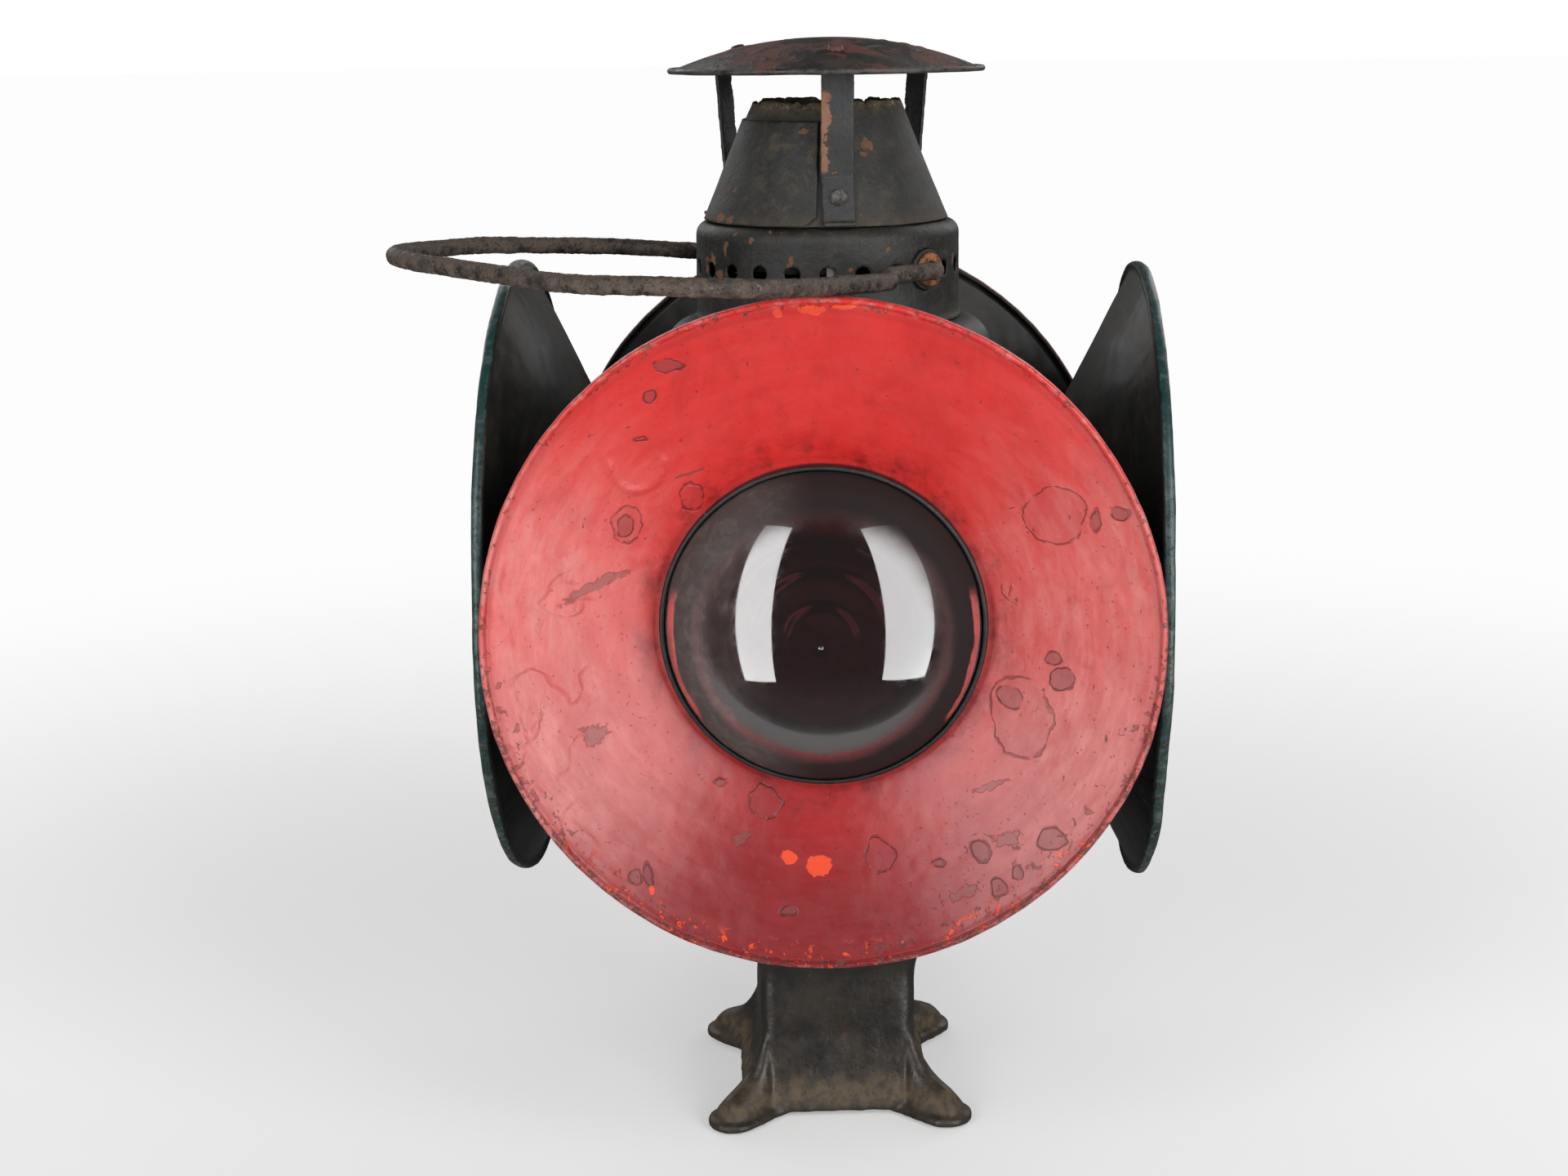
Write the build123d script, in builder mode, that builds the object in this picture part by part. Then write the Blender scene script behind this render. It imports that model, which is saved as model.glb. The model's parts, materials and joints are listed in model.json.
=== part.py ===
from build123d import *
from math import cos, radians, sin, sqrt
import os

os.makedirs("parts", exist_ok=True)

# A railway switch lamp: a sheet steel lamp house with four lenses, a conical
# target round each lens, a vented neck, a chimney lid with a rain cap, a wire
# bail and a cast socket that stands on a switch stand's square spindle.
#
# Frame: millimetres, +Z up, origin on the lamp's axis in the plane of the toes.
# The front lens faces -Y and +X is to its right. Compass angles are measured
# round the axis from the front (0) towards the right (90).

# ---------------------------------------------------------------- dimensions
sheet = 1.2                     # lamp house sheet
thin_sheet = 0.8                # wrap, flue and font sheet
seam = 0.05                     # gap between pieces that lie on each other
free = 0.4                      # gap between pieces that move past each other
running = 0.05                  # radial clearance of a shaft in its bore

# cast base
base_turn = 4.9                 # the casting sits turned by this much
tube_width, tube_corner, tube_wall = 62.5, 6.0, 4.0
tube_bottom, base_top = 2.5, 80.0
flange_radius, flange_thick, flange_flare = 60.0, 4.0, 13.0
toe_reach, toe_width, toe_shoulder, toe_lip = 68.5, 18.0, 30.0, 4.0
lip_reach, lip_width = 71.0, 22.0
bolt_circle, bolt_radius, bolt_head = 47.0, 2.5, 4.6

# lamp house
drum_radius = 63.0
drum_top = 320.0
drum_shoulder = 12.0
pan_rim = 8.0
collar_radius, collar_height = 49.2, 9.0

# neck band with its vents and bail eyelets
band_radius, band_top, band_corner = 50.5, 357.0, 5.0
band_mouth = 43.6
vent_radius, vent_height, vent_count, vent_start = 2.75, 340.5, 24, 1.6
eyelet_angle = 47.9
washer_radius, washer_face = 7.5, 51.4
eyelet_radius, eyelet_face = 6.2, 53.3

# bail
wire_radius = 3.2
bail_height = 340.8             # height of the pivot axis
bail_stub, bail_shoulder = 45.2, 57.6
bail_knee = (56.0, 27.0)        # half width and reach of each bend of the loop
bail_hip = (76.9, 49.0)
bail_corner = (100.2, 167.7)
bail_bends = (4.0, 14.0, 22.0, 57.7)
bail_rise, bail_lean = 3.8, 1.5  # at rest the loop tips up, and leans to one side
head_radius, head_length = 4.8, 1.6

# lenses and targets, as radius and distance out from the lamp's axis
lens_height = 219.5
hood_mouth, hood_root = (57.0, 62.0), (37.7, 45.0)
hood_end = 89.3
hood_flange, hood_flange_thick = 60.0, 1.2
target_radius, target_plane = 120.0, 122.3
target_sheet, target_hem = 1.0, 1.4
target_inner = 60.6
gasket_thick, gasket_inner = 1.4, 53.0
lens_radius, lens_seat, lens_apex = 57.0, 95.3, 122.3
lens_steps = (0.0, 13.0, 25.0, 36.0, 45.0, 51.0)
lens_thick, lens_thin = 8.0, 4.0
ring_radius, ring_window, ring_lip = 59.6, 55.4, 1.2
screw_circle, screw_radius, screw_head = 58.4, 0.7, 1.5

# chimney lid
strap_turn = 7.1                # compass angle of the front strap
cone_foot, cone_foot_height = 46.3, 357.4
cone_top, cone_top_height = 27.8, 402.6
cone_sheet = 1.0
lid_collar, lid_collar_bottom = 42.8, 350.5
wrap_bottom, wrap_top = 357.8, 395.0
wrap_start, wrap_arc = -158.5, 155.0
flue_foot, flue_top = (33.0, 339.0), (24.0, 399.5)
bracket_low, bracket_high = 366.0, 376.0
strap_width, strap_sheet = 12.0, 1.5
strap_meets_cone, strap_radius = 375.0, 43.2
strap_tab_inner = 31.0
rivet_height, rivet_radius, rivet_head, rivet_dome = 367.5, 1.5, 3.4, 1.7
cap_radius, cap_crown, cap_hem_height = 60.0, 425.0, 413.1
cap_sheet, cap_hem = 1.0, 1.1
cap_rivet_circle = 37.0

# lid hinge and catch
catch_foot, catch_half = 48.2, 5.0
hinge_out, hinge_height = 53.2, 358.6
knuckle_radius, pin_radius = 2.6, 1.2
hinge_half, moving_half = 13.0, 7.0
leaf_bottom, leaf_face = 343.5, 52.0
leaf_rivets = (-8.0, 8.0)
moving_leaf_top, leaf_rivet_height = 376.0, 370.5
hinge_rivet_radius, hinge_rivet_head = 1.2, 2.2

# font and burner
font_radius, font_bottom, font_seam, font_top_height = 40.0, 81.6, 140.0, 150.0
neck_collar_radius = 13.0
filler_offset, filler_radius, filler_neck_top = 27.0, 7.0, 155.2
filler_cap_radius, filler_cap_bottom, filler_cap_top = 9.2, 150.4, 158.0
burner_plate, gallery_radius, gallery_top = 158.0, 19.0, 180.0
deflector_top = 206.0
tube_outer, tube_inner = (12.2, 4.4), (11.2, 3.4)
wick_size = (10.0, 2.4)
wick_tube_bottom, wick_tube_top = 118.0, 203.0
wick_bottom, wick_top = 88.0, 205.5
shaft_height, shaft_offset, shaft_radius = 165.0, -4.8, 1.2
spur_radius, spur_spacing, spur_thick = 3.2, 6.0, 2.0
knob_radius, knob_start, knob_end = 7.0, 29.0, 34.0

sides = {"front": 0.0, "right": 90.0, "rear": 180.0, "left": 270.0}
straps = {"front": strap_turn, "right": strap_turn + 120.0, "left": strap_turn - 120.0}
hinge_angle = strap_turn + 180.0
eyelet_angles = (eyelet_angle, eyelet_angle + 180.0)
up = Vector(0, 0, 1)


# ------------------------------------------------------------------- helpers
def outward(angle):
    """The level direction that points out from the lamp's axis at a compass angle."""
    return Vector(sin(radians(angle)), -cos(radians(angle)), 0)


def upright(angle):
    """A plane through the lamp's axis: x is the distance out at a compass angle, y is the height."""
    return Plane(origin=(0, 0, 0), x_dir=outward(angle), z_dir=outward(angle).cross(up))


def lens_section(angle):
    """A plane through a lens axis: x is the radius from it, y is the distance out."""
    return Plane(origin=(0, 0, lens_height), x_dir=up, z_dir=up.cross(outward(angle)))


def lens_axis(angle):
    return Axis((0, 0, lens_height), outward(angle))


def facing(angle, out, height):
    """A plane square to the outward direction, at a distance out and a height."""
    return Plane(origin=outward(angle) * out + up * height, x_dir=outward(angle + 90), z_dir=outward(angle))


def cone_radius(height):
    """Outer radius of the chimney cone at a height."""
    return cone_foot - (height - cone_foot_height) * cone_slope


def lens_out(radius):
    """Distance out of the lens's outer face at a radius."""
    return lens_apex - lens_sphere + sqrt(lens_sphere**2 - radius**2)


def on_cone(angle, height, lift=0.0):
    """A plane square to the chimney cone, lifted off its outer face."""
    normal = outward(angle) * cos(radians(cone_tilt)) + up * sin(radians(cone_tilt))
    origin = outward(angle) * cone_radius(height) + up * height + normal * lift
    return Plane(origin=origin, x_dir=outward(angle + 90), z_dir=normal)


def on_cap(angle):
    """A plane square to the rain cap's upper side at a rivet."""
    normal = outward(angle) * cos(radians(cap_tilt)) + up * sin(radians(cap_tilt))
    origin = outward(angle) * cap_rivet_circle + up * cap_outer(cap_rivet_circle)
    return Plane(origin=origin, x_dir=outward(angle + 90), z_dir=normal)


def cap_outer(radius):
    """Height of the cap's upper side at a radius."""
    return cap_crown - cap_sphere + sqrt(cap_sphere**2 - radius**2)


def cap_under(radius):
    """Height of the cap's underside at a radius."""
    return cap_crown - cap_sphere + sqrt((cap_sphere - cap_sheet) ** 2 - radius**2)


def write(piece, name):
    piece.part.label = name
    export_step(piece.part, f"parts/{name}.step")


cone_slope = (cone_foot - cone_top) / (cone_top_height - cone_foot_height)
cone_tilt = 22.26               # the cone's normal leans up by atan(cone_slope)
lens_rise = lens_apex - lens_seat
lens_sphere = (ring_window**2 + lens_rise**2) / (2 * lens_rise)
cap_rise = cap_crown - cap_hem_height
cap_hem_circle = cap_radius - cap_hem
cap_sphere = (cap_hem_circle**2 + cap_rise**2) / (2 * cap_rise)
cap_tilt = 76.0                 # the cap's normal at the rivets, up from level
base_plane = Plane(
    origin=(0, 0, 0),
    x_dir=(cos(radians(base_turn)), sin(radians(base_turn)), 0),
    z_dir=(0, 0, 1),
)

# ----------------------------------------------------------------- cast base
flange_bottom = base_top - flange_thick
with BuildPart() as base_socket:
    with BuildSketch(base_plane.offset(tube_bottom)):
        RectangleRounded(tube_width, tube_width, tube_corner)
    extrude(amount=flange_bottom - tube_bottom)
    with BuildSketch(base_plane.offset(flange_bottom)):
        Circle(flange_radius)
    extrude(amount=flange_thick)
    root = base_socket.edges().filter_by_position(Axis.Z, flange_bottom, flange_bottom)
    fillet(root.filter_by(lambda edge: edge.bounding_box().size.X < tube_width + 5), flange_flare)
    for corner in (45, 135, 225, 315):
        with BuildSketch(upright(corner + base_turn)):
            with BuildLine():
                Line((34, tube_bottom), (34, toe_shoulder + 4))
                Line((34, toe_shoulder + 4), (42, toe_shoulder))
                ThreePointArc((42, toe_shoulder), (46.5, 21), (55, 15))
                ThreePointArc((55, 15), (64, 12), (toe_reach, toe_lip))
                Line((toe_reach, toe_lip), (toe_reach, 0))
                Line((toe_reach, 0), (50, 0))
                Line((50, 0), (34, tube_bottom))
            make_face()
        extrude(amount=toe_width / 2, both=True)
        with BuildSketch(Plane(origin=(0, 0, 0), x_dir=outward(corner + base_turn), z_dir=(0, 0, 1))):
            with Locations((lip_reach - lip_width, 0)):
                SlotOverall(2 * lip_width, lip_width)
        extrude(amount=toe_lip)
    with BuildSketch(base_plane):
        RectangleRounded(tube_width - 2 * tube_wall, tube_width - 2 * tube_wall, tube_corner / 2)
    extrude(amount=flange_bottom, mode=Mode.SUBTRACT)
    with BuildSketch(base_plane.offset(flange_bottom - flange_flare)):
        with PolarLocations(bolt_circle, 4):
            Circle(bolt_head + 0.6)
    extrude(amount=flange_flare, mode=Mode.SUBTRACT)
    with BuildSketch(base_plane.offset(flange_bottom)):
        with PolarLocations(bolt_circle, 4):
            Circle(bolt_radius)
    extrude(amount=flange_thick, mode=Mode.SUBTRACT)
write(base_socket, "base_socket")

pan_top = base_top + sheet
with BuildPart() as base_bolts:
    with BuildSketch(base_plane.offset(flange_bottom - 5)):
        with PolarLocations(bolt_circle, 4):
            Circle(bolt_radius)
    extrude(amount=flange_thick + sheet + 5)
    with BuildSketch(base_plane.offset(pan_top)):
        with PolarLocations(bolt_circle, 4):
            Circle(bolt_head)
    extrude(amount=2.2)
write(base_bolts, "base_bolts")

with BuildPart() as base_nuts:
    with BuildSketch(base_plane.offset(flange_bottom - 3.6)):
        with PolarLocations(bolt_circle, 4):
            RegularPolygon(bolt_head, 6)
            Circle(bolt_radius, mode=Mode.SUBTRACT)
    extrude(amount=3.6)
write(base_nuts, "base_nuts")

# ---------------------------------------------------------------- lamp house
drum_inner = drum_radius - sheet
with BuildPart() as body_bottom:
    with BuildSketch(Plane.XZ):
        with BuildLine():
            FilletPolyline((0, base_top), (drum_inner, base_top), (drum_inner, base_top + pan_rim), radius=2.4)
            offset(amount=sheet, side=Side.LEFT)
        make_face()
    revolve(axis=Axis.Z)
    with BuildSketch(base_plane.offset(base_top)):
        with PolarLocations(bolt_circle, 4):
            Circle(bolt_radius)
    extrude(amount=sheet, mode=Mode.SUBTRACT)
write(body_bottom, "body_bottom")

hood_inner = hood_mouth[0] - sheet
with BuildPart() as body_drum:
    with BuildSketch(Plane.XZ):
        with BuildLine():
            FilletPolyline(
                (drum_radius, base_top),
                (drum_radius, drum_top),
                (collar_radius, drum_top),
                (collar_radius, drum_top + collar_height),
                radius=[drum_shoulder, 0.3],
            )
            offset(amount=sheet, side=Side.LEFT)
        make_face()
    revolve(axis=Axis.Z)
    for angle in sides.values():
        with BuildSketch(lens_section(angle)):
            with BuildLine():
                Polyline(
                    (0, 30),
                    (hood_root[0] - sheet, 30),
                    (hood_root[0] - sheet, hood_root[1]),
                    (hood_inner, hood_mouth[1]),
                    (hood_inner, 70),
                    (0, 70),
                    close=True,
                )
            make_face()
        revolve(axis=lens_axis(angle), mode=Mode.SUBTRACT)
write(body_drum, "body_drum")

# ----------------------------------------------- lens hoods, targets, lenses
flange_out = hood_end - hood_flange_thick
ring_start = hood_end + target_sheet + seam
lens_back = hood_end + gasket_thick
for side, angle in sides.items():
    screw_holes = facing(angle, flange_out - 2, lens_height)

    with BuildPart() as lens_hood:
        with BuildSketch(lens_section(angle)):
            with BuildLine():
                Polyline(
                    hood_root,
                    hood_mouth,
                    (hood_mouth[0], flange_out),
                    (hood_flange, flange_out),
                    (hood_flange, hood_end),
                    (hood_inner, hood_end),
                    (hood_inner, hood_mouth[1]),
                    (hood_root[0] - sheet, hood_root[1]),
                    close=True,
                )
            make_face()
        revolve(axis=lens_axis(angle))
        with BuildSketch(Plane.XY):
            Circle(drum_radius)
        extrude(amount=drum_top, mode=Mode.SUBTRACT)
        with BuildSketch(screw_holes):
            with PolarLocations(screw_circle, 4, start_angle=45):
                Circle(screw_radius)
        extrude(amount=4, mode=Mode.SUBTRACT)
    write(lens_hood, f"lens_hood_{side}")

    hem_at = (target_radius - target_hem, target_plane - target_hem)
    with BuildPart() as target:
        with BuildSketch(lens_section(angle)):
            with BuildLine():
                Polyline((lens_radius + 0.3, hood_end), (target_inner, hood_end), hem_at)
                offset(amount=target_sheet, side=Side.LEFT)
            make_face()
            with Locations(hem_at):
                Circle(target_hem)
        revolve(axis=lens_axis(angle))
        with BuildSketch(screw_holes):
            with PolarLocations(screw_circle, 4, start_angle=45):
                Circle(screw_radius)
        extrude(amount=8, mode=Mode.SUBTRACT)
    write(target, f"target_{side}")

    with BuildPart() as lens_gasket:
        with BuildSketch(lens_section(angle)):
            with BuildLine():
                Polyline(
                    (gasket_inner, hood_end),
                    (lens_radius, hood_end),
                    (lens_radius, lens_back),
                    (gasket_inner, lens_back),
                    close=True,
                )
            make_face()
        revolve(axis=lens_axis(angle))
    write(lens_gasket, f"lens_gasket_{side}")

    # The outer face is a plain dome. The inner face is stepped in rings, each
    # thick at its inner edge and thin at its outer edge.
    ring_window_gap = ring_window - seam
    steps = []
    for inner, outer in zip(lens_steps[:-1], lens_steps[1:]):
        steps += [(inner, lens_out(inner) - lens_thick), (outer, lens_out(outer) - lens_thin)]
    with BuildPart() as lens:
        with BuildSketch(lens_section(angle)):
            with BuildLine():
                Polyline(
                    (ring_window_gap, lens_out(ring_window_gap)),
                    (ring_window_gap, lens_seat - seam),
                    (lens_radius, lens_seat - seam),
                    (lens_radius, lens_back),
                    (lens_steps[-1], lens_back),
                    *reversed(steps),
                    (0, lens_apex),
                )
                ThreePointArc(
                    (0, lens_apex),
                    (lens_radius / 2, lens_out(lens_radius / 2)),
                    (ring_window_gap, lens_out(ring_window_gap)),
                )
            make_face()
        revolve(axis=lens_axis(angle))
    write(lens, f"lens_{side}")

    with BuildPart() as lens_ring:
        with BuildSketch(lens_section(angle)):
            with BuildLine():
                Polyline(
                    (lens_radius + seam, ring_start),
                    (ring_radius, ring_start),
                    (ring_radius, lens_seat + 0.4),
                    (ring_radius - 0.8, lens_seat + ring_lip),
                    (ring_window, lens_seat + ring_lip),
                    (ring_window, lens_seat),
                    (lens_radius + seam, lens_seat),
                    close=True,
                )
            make_face()
        revolve(axis=lens_axis(angle))
        with BuildSketch(screw_holes):
            with PolarLocations(screw_circle, 4, start_angle=45):
                Circle(screw_radius)
        extrude(amount=8.5, mode=Mode.SUBTRACT)
    write(lens_ring, f"lens_ring_{side}")

with BuildPart() as target_screws:
    for angle in sides.values():
        with BuildSketch(facing(angle, flange_out - 1.2, lens_height)):
            with PolarLocations(screw_circle + 0.3, 4, start_angle=45):
                Circle(screw_head - 0.2)
        extrude(amount=1.2)
        with BuildSketch(facing(angle, flange_out - 0.6, lens_height)):
            with PolarLocations(screw_circle, 4, start_angle=45):
                Circle(screw_radius)
        extrude(amount=6.8)
write(target_screws, "target_screws")

# ----------------------------------------------------------------- neck band
with BuildPart() as neck_band:
    with BuildSketch(Plane.XZ):
        with BuildLine():
            FilletPolyline(
                (band_radius + 0.9, drum_top + 0.5),
                (band_radius, drum_top + 2.6),
                (band_radius, band_top),
                (band_mouth, band_top),
                radius=[2.0, band_corner],
            )
            offset(amount=sheet, side=Side.LEFT)
        make_face()
    revolve(axis=Axis.Z)
    for number in range(vent_count):
        angle = vent_start + number * 360 / vent_count
        if min(abs(angle - eyelet) for eyelet in eyelet_angles) < 7:
            continue
        with BuildSketch(facing(angle, 40, vent_height)):
            Circle(vent_radius)
        extrude(amount=15, mode=Mode.SUBTRACT)
    for angle in eyelet_angles:
        with BuildSketch(facing(angle, 40, bail_height)):
            Circle(washer_radius)
        extrude(amount=15, mode=Mode.SUBTRACT)
    for along in leaf_rivets:
        with BuildSketch(facing(hinge_angle, 40, leaf_bottom + 4)):
            with Locations((along, 0)):
                Circle(hinge_rivet_radius)
        extrude(amount=15, mode=Mode.SUBTRACT)
write(neck_band, "neck_band")

barrel_radius = wire_radius + running + 0.9
with BuildPart() as bail_washers:
    for angle in eyelet_angles:
        with BuildSketch(facing(angle, band_radius - 1.5, bail_height)):
            Circle(washer_radius)
            Circle(barrel_radius, mode=Mode.SUBTRACT)
        extrude(amount=washer_face - band_radius + 1.5)
write(bail_washers, "bail_washers")

with BuildPart() as bail_eyelets:
    for angle in eyelet_angles:
        with BuildSketch(facing(angle, washer_face, bail_height)):
            Circle(eyelet_radius)
        extrude(amount=eyelet_face - washer_face)
        with BuildSketch(facing(angle, band_radius - 2.4, bail_height)):
            Circle(barrel_radius)
        extrude(amount=washer_face - band_radius + 2.4)
        with BuildSketch(facing(angle, band_radius - 2.4, bail_height)):
            Circle(wire_radius + running)
        extrude(amount=eyelet_face - band_radius + 2.4, mode=Mode.SUBTRACT)
write(bail_eyelets, "bail_eyelets")

# ---------------------------------------------------------------------- bail
pivot = up * bail_height
across = outward(eyelet_angle)
ahead = outward(eyelet_angle - 90)
reach = ahead * cos(radians(bail_rise)) + up * sin(radians(bail_rise))
square = across.cross(reach)
square = square if square.Z > 0 else -square
spread = across * cos(radians(bail_lean)) - square * sin(radians(bail_lean))


def bail_point(half, out):
    return pivot + spread * half + reach * out


loop = [bail_knee, bail_hip, bail_corner]
near_side = [pivot + across * bail_stub, pivot + across * bail_shoulder]
near_side += [bail_point(half, out) for half, out in loop]
far_side = [bail_point(-half, out) for half, out in reversed(loop)]
far_side += [pivot - across * bail_shoulder, pivot - across * bail_stub]
with BuildPart() as bail_handle:
    with BuildLine() as bail_path:
        FilletPolyline(*near_side, *far_side, radius=[*bail_bends, *reversed(bail_bends)])
    with BuildSketch(Plane(origin=near_side[0], z_dir=across)):
        Circle(wire_radius)
    sweep(path=bail_path.wires()[0])
    for angle in eyelet_angles:
        with BuildSketch(facing(angle, bail_stub - head_length, bail_height)):
            Circle(head_radius)
        extrude(amount=head_length)
write(bail_handle, "bail_handle")

# -------------------------------------------------------------- chimney cone
wrap_gap = 0.05
wrap_outer = wrap_gap + thin_sheet
strap_gap = {"front": seam, "right": seam, "left": wrap_outer + seam}
with BuildPart() as chimney_cone:
    with BuildSketch(Plane.XZ):
        with BuildLine():
            Polyline(
                (lid_collar, lid_collar_bottom),
                (lid_collar, cone_foot_height),
                (cone_foot, cone_foot_height),
                (cone_top, cone_top_height),
            )
            offset(amount=cone_sheet, side=Side.LEFT, kind=Kind.INTERSECTION)
        make_face()
    revolve(axis=Axis.Z)
    for angle in straps.values():
        with BuildSketch(on_cone(angle, rivet_height)):
            Circle(rivet_radius)
        extrude(amount=4, both=True, mode=Mode.SUBTRACT)
    with BuildSketch(on_cone(hinge_angle, leaf_rivet_height)):
        Circle(hinge_rivet_radius)
    extrude(amount=4, both=True, mode=Mode.SUBTRACT)
write(chimney_cone, "chimney_cone")

with BuildPart() as cone_wrap:
    with BuildSketch(upright(wrap_start)):
        with BuildLine():
            Polyline(
                (cone_radius(wrap_bottom) + wrap_gap, wrap_bottom),
                (cone_radius(wrap_bottom) + wrap_outer, wrap_bottom),
                (cone_radius(wrap_top) + wrap_outer, wrap_top),
                (cone_radius(wrap_top) + wrap_gap, wrap_top),
                close=True,
            )
        make_face()
    revolve(axis=Axis.Z, revolution_arc=wrap_arc)
    with BuildSketch(on_cone(straps["left"], rivet_height)):
        Circle(rivet_radius)
    extrude(amount=4, both=True, mode=Mode.SUBTRACT)
write(cone_wrap, "cone_wrap")


def flue_radius(height):
    """Outer radius of the inner flue at a height."""
    share = (height - flue_foot[1]) / (flue_top[1] - flue_foot[1])
    return flue_foot[0] + (flue_top[0] - flue_foot[0]) * share


with BuildPart() as inner_flue:
    with BuildSketch(Plane.XZ):
        with BuildLine():
            Polyline(flue_foot, flue_top)
            offset(amount=thin_sheet, side=Side.LEFT)
        make_face()
    revolve(axis=Axis.Z)
write(inner_flue, "inner_flue")

cone_inset = cone_sheet / cos(radians(cone_tilt)) + 0.02
with BuildPart() as flue_brackets:
    for number in range(3):
        with BuildSketch(upright(strap_turn + 30 + 120 * number)):
            with BuildLine():
                Polyline(
                    (flue_radius(bracket_low), bracket_low),
                    (cone_radius(bracket_low) - cone_inset, bracket_low),
                    (cone_radius(bracket_high) - cone_inset, bracket_high),
                    (flue_radius(bracket_high), bracket_high),
                    close=True,
                )
            make_face()
        extrude(amount=0.6, both=True)
write(flue_brackets, "flue_brackets")

# ------------------------------------------------------- rain cap and straps
with BuildPart() as rain_cap:
    with BuildSketch(Plane.XZ):
        with BuildLine():
            CenterArc((0, cap_crown - cap_sphere), cap_sphere, 90, -23)
            CenterArc((0, cap_crown - cap_sphere), cap_sphere - cap_sheet, 90, -23)
            Line((0, cap_crown), (0, cap_crown - cap_sheet))
            edge_in = PolarLine((0, cap_crown - cap_sphere), cap_sphere, 67, mode=Mode.PRIVATE)
            Line(edge_in @ 1, edge_in @ (1 - cap_sheet / cap_sphere))
        make_face()
        with Locations((cap_hem_circle, cap_hem_height)):
            Circle(cap_hem)
    revolve(axis=Axis.Z)
    for angle in straps.values():
        with BuildSketch(on_cap(angle)):
            Circle(rivet_radius)
        extrude(amount=8, both=True, mode=Mode.SUBTRACT)
write(rain_cap, "rain_cap")

tab_outer_height = cap_under(strap_radius + strap_sheet) - strap_sheet - 0.3
tab_inner_height = cap_under(strap_tab_inner) - strap_sheet - 0.3
for side, angle in straps.items():
    foot = cone_radius(cone_foot_height + 0.6) + strap_gap[side]
    with BuildPart() as strap:
        with BuildSketch(upright(angle)):
            with BuildLine():
                Polyline(
                    (foot + 3.4, cone_foot_height + 0.6),
                    (foot, cone_foot_height + 0.6),
                    (cone_radius(strap_meets_cone) + strap_gap[side], strap_meets_cone),
                    (strap_radius, tab_outer_height),
                    (strap_tab_inner, tab_inner_height),
                )
                offset(amount=strap_sheet, side=Side.RIGHT, kind=Kind.INTERSECTION)
            make_face()
        extrude(amount=strap_width / 2, both=True)
        with BuildSketch(on_cone(angle, rivet_height)):
            Circle(rivet_radius)
        extrude(amount=6, both=True, mode=Mode.SUBTRACT)
        with BuildSketch(on_cap(angle)):
            Circle(rivet_radius)
        extrude(amount=8, both=True, mode=Mode.SUBTRACT)
    write(strap, f"strap_{side}")

with BuildPart() as strap_rivets:
    for side, angle in straps.items():
        face = (strap_gap[side] + strap_sheet) * 1.06
        with BuildSketch(on_cone(angle, rivet_height, face)):
            Circle(rivet_radius)
        extrude(amount=-face - cone_sheet - 1)
        with BuildSketch(on_cone(angle, rivet_height, face)):
            Circle(rivet_head)
        extrude(amount=rivet_dome, taper=30)
write(strap_rivets, "strap_rivets")

with BuildPart() as cap_rivets:
    for angle in straps.values():
        with BuildSketch(on_cap(angle)):
            Circle(rivet_radius)
        extrude(amount=-4.2)
        with BuildSketch(on_cap(angle)):
            Circle(rivet_head)
        extrude(amount=rivet_dome, taper=30)
write(cap_rivets, "cap_rivets")

# ----------------------------------------------------------------- lid hinge
hinge_dir = outward(hinge_angle)
hinge_side = outward(hinge_angle + 90)
knuckles = Plane(origin=hinge_dir * hinge_out + up * hinge_height, x_dir=hinge_dir, z_dir=hinge_side)
bore = pin_radius + running
with BuildPart() as hinge_leaf_fixed:
    with BuildSketch(upright(hinge_angle)):
        with BuildLine():
            Polyline(
                (45, leaf_bottom),
                (leaf_face, leaf_bottom),
                (leaf_face, hinge_height),
                (45, hinge_height),
                close=True,
            )
        make_face()
    extrude(amount=hinge_half, both=True)
    with BuildSketch(Plane.XY.offset(leaf_bottom - 1)):
        Circle(band_radius + seam)
    extrude(amount=20, mode=Mode.SUBTRACT)
    with BuildSketch(knuckles):
        Circle(knuckle_radius)
    extrude(amount=hinge_half, both=True)
    with BuildSketch(knuckles):
        Circle(knuckle_radius + free)
    extrude(amount=moving_half + free, both=True, mode=Mode.SUBTRACT)
    with BuildSketch(knuckles):
        Circle(pin_radius)
    extrude(amount=hinge_half, both=True, mode=Mode.SUBTRACT)
    for along in leaf_rivets:
        with BuildSketch(facing(hinge_angle, band_radius - 4, leaf_bottom + 4)):
            with Locations((along, 0)):
                Circle(hinge_rivet_radius)
        extrude(amount=10, mode=Mode.SUBTRACT)
write(hinge_leaf_fixed, "hinge_leaf_fixed")

with BuildPart() as hinge_rivets_fixed:
    for along in leaf_rivets:
        with BuildSketch(facing(hinge_angle, leaf_face, leaf_bottom + 4)):
            with Locations((along, 0)):
                Circle(hinge_rivet_head)
        extrude(amount=1.2, taper=25)
        with BuildSketch(facing(hinge_angle, leaf_face - 4.2, leaf_bottom + 4)):
            with Locations((along, 0)):
                Circle(hinge_rivet_radius)
        extrude(amount=4.2)
write(hinge_rivets_fixed, "hinge_rivets_fixed")

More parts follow.
